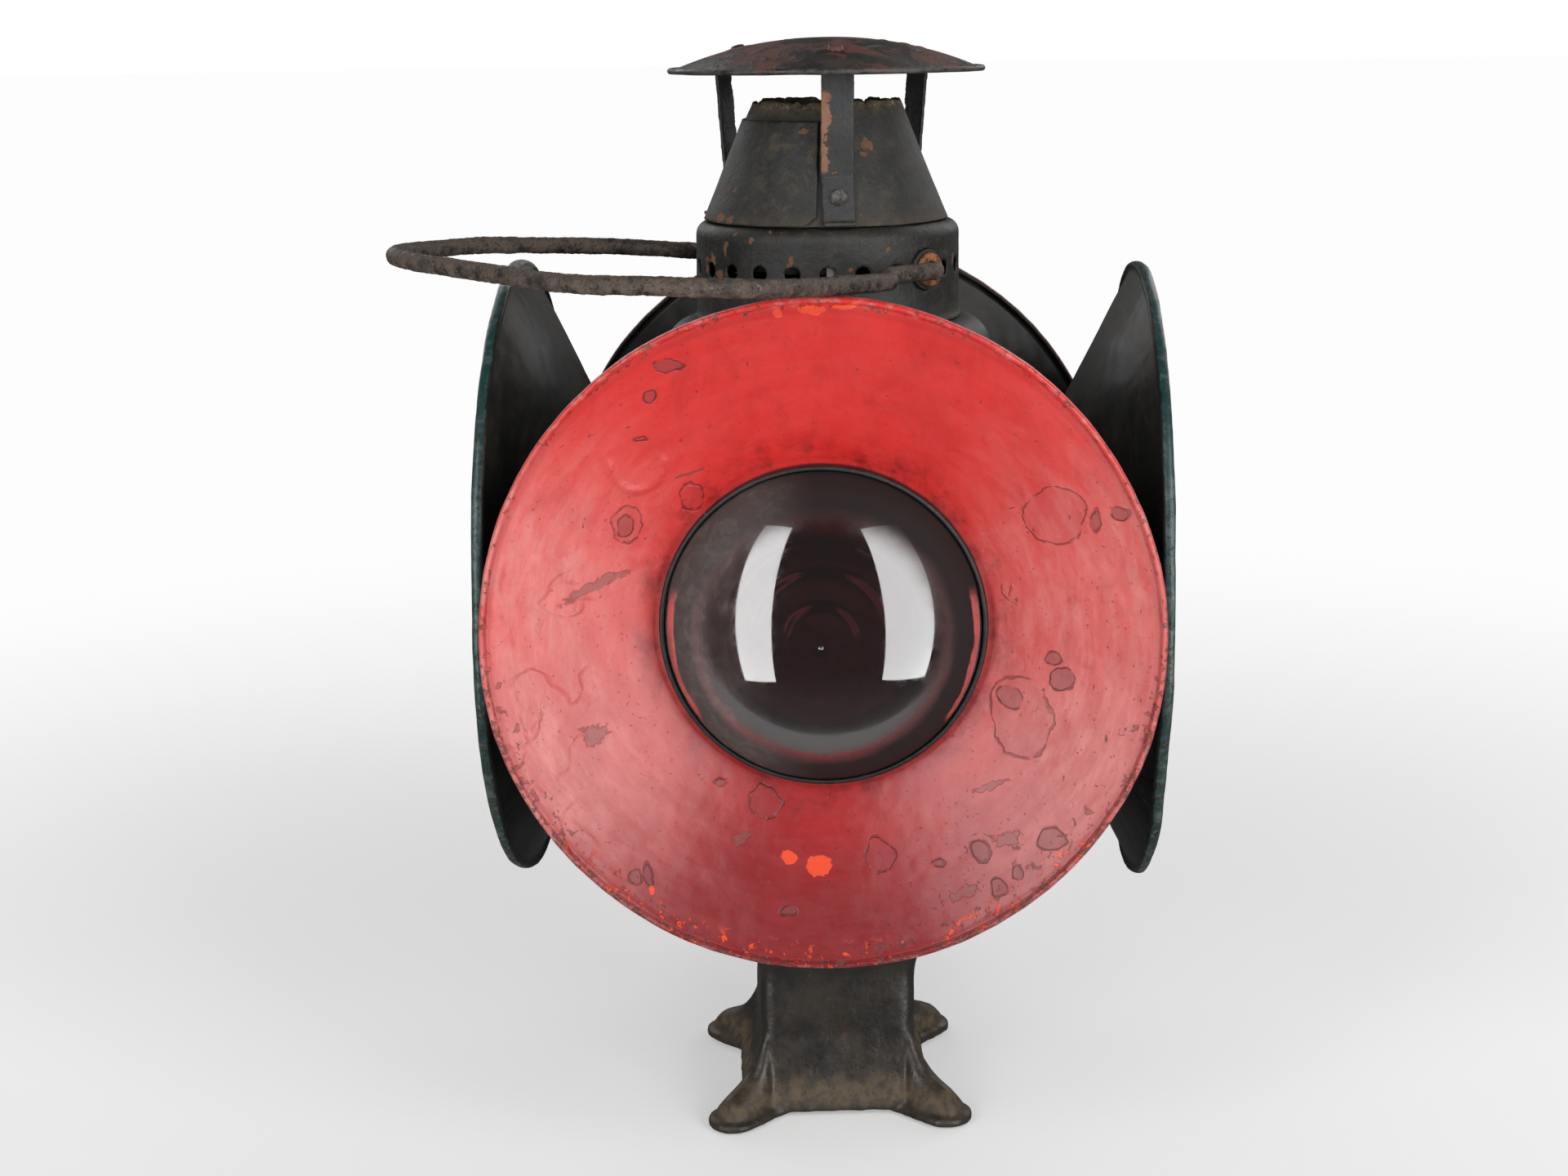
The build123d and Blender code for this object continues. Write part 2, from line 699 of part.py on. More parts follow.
leaf_turn = hinge_height + 0.3
with BuildPart() as hinge_leaf_moving:
    with BuildSketch(upright(hinge_angle)):
        with BuildLine():
            Polyline(
                (hinge_out, leaf_turn),
                (cone_radius(leaf_turn) + seam, leaf_turn),
                (cone_radius(moving_leaf_top) + seam, moving_leaf_top),
            )
            offset(amount=sheet, side=Side.RIGHT, kind=Kind.INTERSECTION)
        make_face()
    extrude(amount=moving_half, both=True)
    with BuildSketch(knuckles):
        Circle(knuckle_radius)
    extrude(amount=moving_half, both=True)
    with BuildSketch(knuckles):
        Circle(bore)
    extrude(amount=moving_half, both=True, mode=Mode.SUBTRACT)
    with BuildSketch(on_cone(hinge_angle, leaf_rivet_height)):
        Circle(hinge_rivet_radius)
    extrude(amount=4, both=True, mode=Mode.SUBTRACT)
write(hinge_leaf_moving, "hinge_leaf_moving")

leaf_outer = (seam + sheet) * 1.06
with BuildPart() as hinge_rivet_moving:
    with BuildSketch(on_cone(hinge_angle, leaf_rivet_height, leaf_outer)):
        Circle(hinge_rivet_radius)
    extrude(amount=-leaf_outer - cone_sheet - 0.6)
    with BuildSketch(on_cone(hinge_angle, leaf_rivet_height, leaf_outer)):
        Circle(hinge_rivet_head)
    extrude(amount=1.2, taper=25)
write(hinge_rivet_moving, "hinge_rivet_moving")

with BuildPart() as hinge_pin:
    with BuildSketch(knuckles):
        Circle(pin_radius)
    extrude(amount=hinge_half + 0.6, both=True)
write(hinge_pin, "hinge_pin")

# A leaf spring inside the neck, opposite the hinge, holds the lid's collar.
with BuildPart() as lid_catch:
    with BuildSketch(upright(strap_turn)):
        with BuildLine():
            FilletPolyline(
                (catch_foot, 330.5),
                (catch_foot, 344.0),
                (lid_collar + 1.6, 349.0),
                (lid_collar + 0.6, 351.5),
                (lid_collar + 2.2, 355.0),
                radius=1.0,
            )
            offset(amount=thin_sheet, side=Side.RIGHT)
        make_face()
    extrude(amount=catch_half, both=True)
write(lid_catch, "lid_catch")

# ---------------------------------------------------------------------- font
font_seam_radius = font_radius + thin_sheet + seam
with BuildPart() as font_cup:
    with BuildSketch(Plane.XZ):
        with BuildLine():
            FilletPolyline((0, font_bottom), (font_radius, font_bottom), (font_radius, font_seam), radius=5)
            offset(amount=thin_sheet, side=Side.LEFT)
        make_face()
    revolve(axis=Axis.Z)
write(font_cup, "font_cup")

with BuildPart() as font_top:
    with BuildSketch(Plane.XZ):
        with BuildLine():
            FilletPolyline(
                (font_seam_radius, font_seam - 7),
                (font_seam_radius, font_seam + 5),
                (neck_collar_radius, font_top_height),
                (neck_collar_radius, font_top_height + 7),
                radius=[5.0, 1.5],
            )
            offset(amount=thin_sheet, side=Side.LEFT)
        make_face()
    revolve(axis=Axis.Z)
    with BuildSketch(Plane.XY.offset(font_top_height - 3.5)):
        with Locations((-filler_offset, 0)):
            Circle(filler_radius)
    extrude(amount=filler_neck_top - font_top_height + 3.5)
    with BuildSketch(Plane.XY.offset(font_top_height - 6)):
        with Locations((-filler_offset, 0)):
            Circle(filler_radius - 1.2)
    extrude(amount=filler_neck_top - font_top_height + 6, mode=Mode.SUBTRACT)
write(font_top, "font_top")

with BuildPart() as filler_cap:
    with BuildSketch(Plane.XY.offset(filler_cap_bottom)):
        with Locations((-filler_offset, 0)):
            Circle(filler_cap_radius)
            with PolarLocations(filler_cap_radius + 0.6, 16):
                Circle(1.2, mode=Mode.SUBTRACT)
    extrude(amount=filler_cap_top - filler_cap_bottom)
    with BuildSketch(Plane.XY.offset(filler_cap_bottom)):
        with Locations((-filler_offset, 0)):
            Circle(filler_radius + running)
    extrude(amount=filler_cap_top - filler_cap_bottom - 1.4, mode=Mode.SUBTRACT)
write(filler_cap, "filler_cap")

with BuildPart() as filler_gasket:
    with BuildSketch(Plane.XY.offset(filler_cap_top - 2.4)):
        with Locations((-filler_offset, 0)):
            Circle(filler_radius)
    extrude(amount=1.0)
write(filler_gasket, "filler_gasket")

with BuildPart() as font_springs:
    for number in range(3):
        with BuildSketch(upright(45 + 120 * number)):
            with BuildLine():
                FilletPolyline(
                    (drum_inner - 0.4, 96),
                    (drum_inner - 0.4, 108),
                    (font_radius + 1.8, 120),
                    (font_radius + 1.8, 128),
                    (font_radius + 6, 138),
                    radius=3,
                )
                offset(amount=thin_sheet, side=Side.LEFT)
            make_face()
        extrude(amount=5, both=True)
write(font_springs, "font_springs")

# -------------------------------------------------------------------- burner
with BuildPart() as burner_collar:
    with BuildSketch(Plane.XY.offset(font_top_height + 1.8)):
        Circle(neck_collar_radius + 3.4)
        with PolarLocations(neck_collar_radius + 4.2, 24):
            Circle(1.2, mode=Mode.SUBTRACT)
    extrude(amount=burner_plate + 1 - font_top_height - 1.8)
    with BuildSketch(Plane.XY.offset(font_top_height + 1.8)):
        Circle(neck_collar_radius + seam)
    extrude(amount=burner_plate - font_top_height - 1.8, mode=Mode.SUBTRACT)
    with BuildSketch(Plane.XY.offset(burner_plate)):
        Rectangle(*tube_outer)
    extrude(amount=1, mode=Mode.SUBTRACT)
write(burner_collar, "burner_collar")

with BuildPart() as burner_gallery:
    with BuildSketch(Plane.XZ):
        with BuildLine():
            FilletPolyline(
                (neck_collar_radius + 0.5, burner_plate + 1),
                (gallery_radius, burner_plate + 2),
                (gallery_radius, gallery_top),
                (gallery_radius - 2, gallery_top + 2),
                radius=0.9,
            )
            offset(amount=thin_sheet, side=Side.LEFT)
        make_face()
    revolve(axis=Axis.Z)
    for number in range(12):
        with BuildSketch(facing(15 + 30 * number, gallery_radius - 4, 174)):
            Circle(1.8)
        extrude(amount=8, mode=Mode.SUBTRACT)
    with BuildSketch(Plane.YZ.offset(-gallery_radius - 2)):
        with Locations((shaft_offset, shaft_height)):
            Circle(shaft_radius + running)
    extrude(amount=2 * gallery_radius + 4, mode=Mode.SUBTRACT)
write(burner_gallery, "burner_gallery")

with BuildPart() as burner_deflector:
    with BuildSketch(Plane.XZ):
        with BuildLine():
            Polyline((gallery_radius - 2, gallery_top + 2), (gallery_radius - 2, gallery_top + 5))
            ThreePointArc(
                (gallery_radius - 2, gallery_top + 5),
                (gallery_radius - 6.2, deflector_top - 9),
                (0, deflector_top),
            )
            Line((0, deflector_top), (0, deflector_top - thin_sheet))
            ThreePointArc(
                (0, deflector_top - thin_sheet),
                (gallery_radius - 6.8, deflector_top - 9.6),
                (gallery_radius - 2.8, gallery_top + 5),
            )
            Polyline((gallery_radius - 2.8, gallery_top + 5), (gallery_radius - 2.8, gallery_top + 2))
            Line((gallery_radius - 2.8, gallery_top + 2), (gallery_radius - 2, gallery_top + 2))
        make_face()
    revolve(axis=Axis.Z)
    with BuildSketch(Plane.XY.offset(deflector_top - 8)):
        SlotOverall(17, 7)
    extrude(amount=10, mode=Mode.SUBTRACT)
write(burner_deflector, "burner_deflector")

with BuildPart() as wick_tube:
    with BuildSketch(Plane.XY.offset(wick_tube_bottom)):
        Rectangle(*tube_outer)
        Rectangle(*tube_inner, mode=Mode.SUBTRACT)
    extrude(amount=wick_tube_top - wick_tube_bottom)
    with BuildSketch(Plane.XZ.offset(-shaft_offset)):
        with Locations((0, shaft_height)):
            Rectangle(spur_spacing + 4, 2 * spur_radius + 2)
    extrude(amount=shaft_offset, mode=Mode.SUBTRACT)
write(wick_tube, "wick_tube")

with BuildPart() as wick:
    with BuildSketch(Plane.XY.offset(wick_bottom)):
        Rectangle(*wick_size)
    extrude(amount=wick_top - wick_bottom)
write(wick, "wick")

with BuildPart() as wick_shaft:
    with BuildSketch(Plane.YZ.offset(-gallery_radius - 2)):
        with Locations((shaft_offset, shaft_height)):
            Circle(shaft_radius)
    extrude(amount=gallery_radius + 2 + knob_end)
    for along in (-spur_spacing / 2, spur_spacing / 2):
        with BuildSketch(Plane.YZ.offset(along - spur_thick / 2)):
            with Locations((shaft_offset, shaft_height)):
                Circle(spur_radius)
                with PolarLocations(spur_radius, 8):
                    Circle(0.7, mode=Mode.SUBTRACT)
        extrude(amount=spur_thick)
write(wick_shaft, "wick_shaft")

with BuildPart() as wick_knob:
    with BuildSketch(Plane.YZ.offset(knob_start)):
        with Locations((shaft_offset, shaft_height)):
            Circle(knob_radius)
            Circle(shaft_radius, mode=Mode.SUBTRACT)
            with PolarLocations(knob_radius + 0.5, 20):
                Circle(1.0, mode=Mode.SUBTRACT)
    extrude(amount=knob_end - knob_start)
write(wick_knob, "wick_knob")
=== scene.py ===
import json
from math import cos, dist, hypot, inf, pi, radians, sin, sqrt

import bpy
import numpy as np
from mathutils import Matrix, Vector, noise

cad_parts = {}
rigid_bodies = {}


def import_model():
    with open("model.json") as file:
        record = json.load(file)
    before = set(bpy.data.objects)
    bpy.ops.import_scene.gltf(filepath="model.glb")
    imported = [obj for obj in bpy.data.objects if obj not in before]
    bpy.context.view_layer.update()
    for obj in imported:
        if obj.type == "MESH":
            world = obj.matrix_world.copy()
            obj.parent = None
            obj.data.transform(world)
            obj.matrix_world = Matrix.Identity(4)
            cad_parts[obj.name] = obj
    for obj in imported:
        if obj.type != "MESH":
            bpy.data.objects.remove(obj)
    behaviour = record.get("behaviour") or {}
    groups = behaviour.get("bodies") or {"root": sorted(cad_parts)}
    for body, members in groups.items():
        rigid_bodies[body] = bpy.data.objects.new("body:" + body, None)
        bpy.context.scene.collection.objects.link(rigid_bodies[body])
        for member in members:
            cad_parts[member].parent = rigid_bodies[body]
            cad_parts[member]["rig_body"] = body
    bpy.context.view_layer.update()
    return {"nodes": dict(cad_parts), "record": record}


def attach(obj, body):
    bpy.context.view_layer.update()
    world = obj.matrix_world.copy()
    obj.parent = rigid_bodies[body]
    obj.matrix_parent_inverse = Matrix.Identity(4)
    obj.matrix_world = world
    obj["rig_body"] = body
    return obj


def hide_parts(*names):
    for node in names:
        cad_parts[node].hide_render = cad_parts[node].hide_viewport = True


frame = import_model()
nodes = frame["nodes"]
record = frame["record"]
MM = 0.001

LENS_HEIGHT = 219.5             # mm, the height of the four lens axes
SIDES = {"front": 0, "right": 90, "rear": 180, "left": 270}
STRAP_TURN = 7.1                # compass angle of the front strap
SCRAPE_TURN = 24                # slant of the scrapes on a target, degrees up to the right


# --- geometry
def outward(angle):
    """The level direction out from the lamp's axis at a compass angle: 0 is the front, 90 the right."""
    turn = radians(angle)
    return Vector((sin(turn), -cos(turn), 0))


def lump(x, y, z, size, seed=0):
    """Smooth noise from -1 to 1 whose lumps are about size mm across."""
    return noise.noise(Vector((x / size + seed, y / size + 2.3 * seed, z / size - seed)))


def fine(x, y, z, size, octaves, seed):
    """The same with finer lumps on top."""
    point = Vector((x / size + seed, y / size - seed, z / size + 1.7 * seed))
    return noise.fractal(point, 0.6, 2.1, octaves)


def smooth_step(low, high, value):
    share = min(1, max(0, (value - low) / (high - low)))
    return share * share * (3 - 2 * share)


def run(start, end, step):
    """Points from start up to, but not at, end, about step apart."""
    count = max(1, round(dist(start, end) / step))
    return [
        (start[0] + (end[0] - start[0]) * k / count, start[1] + (end[1] - start[1]) * k / count)
        for k in range(count)
    ]


def arc(centre, wide, tall, start, end, count):
    """Points on part of an oval, both ends included; angles in degrees from the first axis."""
    turns = [radians(start + (end - start) * k / count) for k in range(count + 1)]
    return [(centre[0] + wide * cos(turn), centre[1] + tall * sin(turn)) for turn in turns]


def mesh_from(name, points, faces):
    """A mesh from points in mm."""
    mesh = bpy.data.meshes.new(name)
    mesh.from_pydata([(x * MM, y * MM, z * MM) for x, y, z in points], [], faces)
    mesh.update()
    return mesh


def shade_smooth(mesh):
    mesh.polygons.foreach_set("use_smooth", [True] * len(mesh.polygons))


def into_scene(name, data):
    item = bpy.data.objects.new(name, data)
    bpy.context.scene.collection.objects.link(item)
    return item


def finish_piece(name, mesh, body, slot, material, replaced):
    """Puts a piece on its body with its material; replaced is the CAD node whose place it takes."""
    piece = into_scene(name, mesh)
    mesh.materials.clear()
    mesh.materials.append(material)
    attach(piece, body)
    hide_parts(replaced)
    return piece


def piece_from(name, points, faces, *details):
    """A smooth-shaded piece from points in mm; the details are those of finish_piece."""
    mesh = mesh_from(name, points, faces)
    shade_smooth(mesh)
    return finish_piece(name, mesh, *details)


def turned_points(profile, steps, place):
    """A closed profile of (radius, along) turned round an axis; place(angle, radius, along) gives a point."""
    turns = [radians(360 * i / steps) for i in range(steps)]
    points = [place(turn, radius, along) for turn in turns for radius, along in profile]
    size = len(profile)
    faces = []
    for i in range(steps):
        j = (i + 1) % steps
        for k in range(size):
            n = (k + 1) % size
            faces.append((i * size + k, j * size + k, j * size + n, i * size + n))
    return points, faces


def reskin(name, mesh, voxel, smoothing):
    """The solid in a mesh skinned again with even quads, its edges rounded."""
    holder = into_scene(name + "_source", mesh)
    remesh = holder.modifiers.new("skin", "REMESH")
    remesh.mode = "VOXEL"
    remesh.voxel_size = voxel * MM
    soften = holder.modifiers.new("soften", "SMOOTH")
    soften.factor = 0.5
    soften.iterations = smoothing
    bpy.context.view_layer.update()
    graph = bpy.context.evaluated_depsgraph_get()
    skinned = bpy.data.meshes.new_from_object(holder.evaluated_get(graph))
    bpy.data.objects.remove(holder)
    return skinned


def roughen(mesh, rough, shape=None):
    """Lifts points along their normals by layers of noise, then moves each one by shape(x, y, z)."""
    spots = np.zeros(len(mesh.vertices) * 3)
    mesh.vertices.foreach_get("co", spots)
    spots = spots.reshape(-1, 3) / MM
    normals = np.array([n.vector for n in mesh.vertex_normals])
    for height, size, octaves in rough:
        lift = np.array([fine(x, y, z, size, octaves, height * 7) for x, y, z in spots])
        spots = spots + normals * (height * lift)[:, None]
    if shape:
        spots = np.array([shape(x, y, z) for x, y, z in spots])
    mesh.vertices.foreach_set("co", (spots * MM).ravel())
    mesh.update()
    shade_smooth(mesh)


def recast(node, name, voxel, smoothing, material, rough, shape=None):
    """A CAD node's solid skinned again, then roughened.

    rough is (height mm, lump size mm, octaves) for each layer; shape(x, y, z) moves a point, all in mm.
    """
    source = nodes[node]
    mesh = reskin(name, source.data.copy(), voxel, smoothing)
    roughen(mesh, rough, shape)
    slot = next(s["material_slot"] for s in record["subparts"] if s["node"] == node)
    finish_piece(name, mesh, source["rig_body"], slot, material, node)


# --- materials
def shade(colour, share, lift=0):
    """A colour darkened to share of itself, then made paler by lift."""
    return tuple(c * share + lift for c in colour)


class Surface:
    """A Principled material with short calls for the nodes that feed it."""

    def __init__(self, name, roughness, metallic=0):
        self.material = bpy.data.materials.new(name)
        self.material.use_nodes = True
        self.tree = self.material.node_tree
        self.shader = self.tree.nodes["Principled BSDF"]
        self.feed("Roughness", roughness)
        self.feed("Metallic", metallic)
        texture = self.node("TexCoord")
        self.place = texture.outputs["Object"]
        self.normal = texture.outputs["Normal"]

    def join(self, socket, value):
        """Links a socket to another one, or sets its value."""
        if isinstance(value, bpy.types.NodeSocket):
            self.tree.links.new(value, socket)
        elif socket.type == "RGBA":
            socket.default_value = (*value, 1)
        else:
            socket.default_value = value

    def feed(self, socket, value):
        """Joins a value to an input of the shader."""
        self.join(self.shader.inputs[socket], value)

    def node(self, kind, *values, setting=None, **named):
        """A new node: setting is (property, value), and its inputs are filled in order and by name."""
        node = self.tree.nodes.new("ShaderNode" + kind)
        if setting:
            setattr(node, *setting)
        for socket, value in zip(node.inputs, values):
            self.join(socket, value)
        for socket, value in named.items():
            self.join(node.inputs[socket], value)
        return node

    def noise(self, size, detail=4, rough=0.6, bend=0, place=None):
        """Noise from 0 to 1 whose lumps are about size mm across."""
        place = place or self.place
        inputs = dict(Vector=place, Scale=1000 / size, Detail=detail, Roughness=rough, Distortion=bend)
        return self.node("TexNoise", **inputs).outputs["Fac"]

    def cells(self, size):
        """How far it is to the middle of the nearest of many cells, about size mm across."""
        return self.node("TexVoronoi", Vector=self.place, Scale=1000 / size).outputs["Distance"]

    def step(self, value, low, high):
        """0 below low, 1 above high, smooth between; low above high turns it round."""
        setting = ("interpolation_type", "SMOOTHSTEP")
        return self.node("MapRange", value, low, high, setting=setting).outputs["Result"]

    def spots(self, low, high, *noise_values, **places):
        """Noise made sharper: 0 where it is below low and 1 where it is above high."""
        return self.step(self.noise(*noise_values, **places), low, high)

    def maths(self, kind, first, second=0):
        return self.node("Math", first, second, setting=("operation", kind)).outputs[0]

    def times(self, first, second):
        return self.maths("MULTIPLY", first, second)

    def plus(self, first, second):
        return self.maths("ADD", first, second)

    def less(self, first, second):
        return self.maths("SUBTRACT", first, second)

    def reach(self, first, second):
        """How far a point is from the middle of a plane."""
        return self.maths("SQRT", self.plus(self.times(first, first), self.times(second, second)))

    def most(self, *masks):
        total = masks[0]
        for mask in masks[1:]:
            total = self.maths("MAXIMUM", total, mask)
        return total

    def vector(self, kind, first, second=(0, 0, 0), scale=1, result="Vector"):
        node = self.node("VectorMath", first, second, (0, 0, 0), scale, setting=("operation", kind))
        return node.outputs[result]

    def mapped(self, move=(0, 0, 0), turn=0, scale=(1, 1, 1), place=None, tilt=0):
        """A place scaled, turned round the upright axis or tilted in the plane of a target, and moved."""
        rotation = (0, radians(tilt), radians(turn))
        return self.node("Mapping", place or self.place, move, rotation, scale).outputs["Vector"]

    def polar(self, x, z, radius, squeeze=0.024):
        """A place that stretches what is drawn in it along circles round the lens."""
        sideways, upward = (self.times(self.maths("DIVIDE", axis, radius), squeeze) for axis in (x, z))
        return self.node("CombineXYZ", sideways, radius, upward).outputs[0]

    def bent(self, place, size, amount):
        """A place pushed about by noise with lumps of size mm, by up to half the amount in metres."""
        push = self.node("TexNoise", Vector=self.place, Scale=1000 / size, Detail=3).outputs["Color"]
        push = self.vector("SUBTRACT", push, (0.5, 0.5, 0.5))
        return self.vector("ADD", place, self.vector("SCALE", push, scale=amount))

    def blob(self, place, centre, wide, deep, tall):
        """0 at the middle of an oval blob and 1 at its edge; the half sizes in mm can be endless."""
        local = self.vector("SUBTRACT", place, centre)
        local = self.vector("MULTIPLY", local, (1000 / wide, 1000 / deep, 1000 / tall))
        return self.vector("LENGTH", local, result="Value")

    def oval(self, place, right, above, wide, tall):
        """A blob in the plane of a target, placed in mm from the lens axis."""
        return self.blob(place, (right * MM, 0, above * MM), wide, inf, tall)

    def split(self, place=None):
        node = self.node("SeparateXYZ", place or self.place)
        return node.outputs["X"], node.outputs["Y"], node.outputs["Z"]

    def mix(self, mask, first, second):
        """From one colour to another as the mask goes from 0 to 1."""
        node = self.node("Mix", mask, setting=("data_type", "RGBA"))
        self.join(node.inputs[6], first)
        self.join(node.inputs[7], second)
        return node.outputs[2]

    def between(self, mask, first, second):
        """The same for two numbers."""
        node = self.node("Mix", mask)
        self.join(node.inputs[2], first)
        self.join(node.inputs[3], second)
        return node.outputs[0]

    def cover(self, mask, paint, share=None):
        """Lays a colour over what is already there, as strongly as the mask times share."""
        if share is not None:
            mask = self.times(mask, share)
        self.colour = self.mix(mask, self.colour, paint)

    def worn_edge(self, radius, low=0.02, high=0.25):
        """1 on the outside edges, as far in as radius mm, broken up by noise."""
        bevel = self.node("Bevel", radius * MM, setting=("samples", 4))
        flat = self.node("NewGeometry").outputs["Normal"]
        turn = self.vector("DOT_PRODUCT", bevel.outputs["Normal"], flat, result="Value")
        off = self.less(1, turn)
        patch = self.spots(0.38, 0.62, 3, 5, 0.7)
        return self.times(self.step(off, low, high), patch)

    def finish(self, roughness, bump, depth, metallic=None):
        """Joins the colour, the roughness, the metal share and a height in 0..1 that is depth mm deep."""
        self.feed("Base Color", self.colour)
        if roughness is not None:
            self.feed("Roughness", roughness)
        if metallic is not None:
            self.feed("Metallic", metallic)
        relief = self.node("Bump", Strength=1, Distance=depth * MM, Height=bump)
        self.feed("Normal", relief.outputs["Normal"])
        return self.material


def black_enamel(
    name, tone=(0.0125, 0.0127, 0.0122), rust=0.5, dust=0.3, gloss=0.44, bands=(), patches=(), chipped=None
):
    """Old satin black paint: cloudy, dusty, with rust coming through in spots and at the edges.

    bands is (low height, high height, strength) of dusty brown zones in mm, rising from low to high.
    patches is (compass angle, radius, height, half width, half height) of each large rust spot.
    chipped is (compass angle, low height, high height) of a strap bare along its left edge.
    """
    s = Surface(name, gloss)
    cloud = s.noise(28, 5, 0.62)
    s.colour = s.mix(s.step(cloud, 0.35, 0.7), tone, shade(tone, 1.8, 0.002))
    smeared = s.spots(0.44, 0.74, 8, 8, 0.78, 0.5)
    speckled = s.spots(0.6, 0.7, 1.6, 4, 0.7)
    haze = s.times(s.most(smeared, speckled), dust)
    height = s.split()[2]
    for low, high, strength in bands:
        zone = s.step(height, low * MM, high * MM)
        patchy = s.times(zone, s.between(s.spots(0.35, 0.62, 4.5, 6, 0.78), 0.3, 1))
        haze = s.most(haze, s.times(patchy, strength))
    s.cover(haze, s.mix(s.noise(5, 4), (0.066, 0.051, 0.033), (0.135, 0.1, 0.06)))
    edge = s.worn_edge(1)
    s.cover(edge, (0.13, 0.105, 0.08), 0.5)
    blot_level = s.plus(s.noise(6, 6, 0.62), s.times(s.noise(26, 2), 0.45))
    blot = s.step(blot_level, 0.935 - 0.07 * rust, 0.965 - 0.07 * rust)
    fleck = s.spots(0.72 - 0.03 * rust, 0.76 - 0.03 * rust, 2, 3, 0.6)
    rusty = s.most(blot, s.times(fleck, s.spots(0.42, 0.6, 16, 2)))
    bent = s.bent(s.place, 5, 0.007)
    for angle, radius, level, wide, tall in patches:
        centre = outward(angle) * radius * MM + Vector((0, 0, level * MM))
        spot = s.step(s.blob(bent, tuple(centre), wide, wide, tall), 1.05, 0.75)
        rusty = s.most(rusty, s.times(spot, 0.85))
    red = s.mix(s.noise(1.6, 5, 0.7), (0.11, 0.045, 0.022), (0.25, 0.115, 0.06))
    if chipped:
        angle, low, high = chipped
        along = s.vector("DOT_PRODUCT", s.place, tuple(outward(angle + 90)), result="Value")
        ragged = s.times(s.less(s.noise(4.5, 5, 0.6), 0.5), 0.013)
        strip = s.step(s.plus(along, ragged), -0.0032, -0.0038)
        above = s.step(height, low * MM, (low + 2) * MM)
        below = s.step(height, high * MM, (high - 2) * MM)
        strip = s.times(strip, s.times(above, below))
        rusty = s.most(rusty, strip)
        red = s.mix(strip, red, s.mix(s.noise(2.5, 4), (0.19, 0.085, 0.05), (0.29, 0.145, 0.095)))
    s.cover(rusty, red)
    grit = s.times(s.step(haze, 0.65, 0.9), s.spots(0.52, 0.62, 1.3, 2, 0.6))
    s.cover(grit, (0.32, 0.25, 0.135), 0.75)
    bits = s.spots(0.775, 0.81, 1.2, 2, 0.5)
    s.cover(bits, (0.33, 0.31, 0.26), 0.5)
    satin = s.between(s.noise(5, 5), gloss - 0.1, gloss + 0.16)
    roughness = s.between(s.most(rusty, haze), satin, 0.82)
    skin = s.plus(s.times(s.noise(2, 7, 0.66), 0.6), s.times(s.noise(12, 4), 0.4))
    bump = s.plus(skin, s.times(rusty, s.between(s.noise(0.9, 3), -0.45, 0.1)))
    return s.finish(roughness, bump, 0.6)


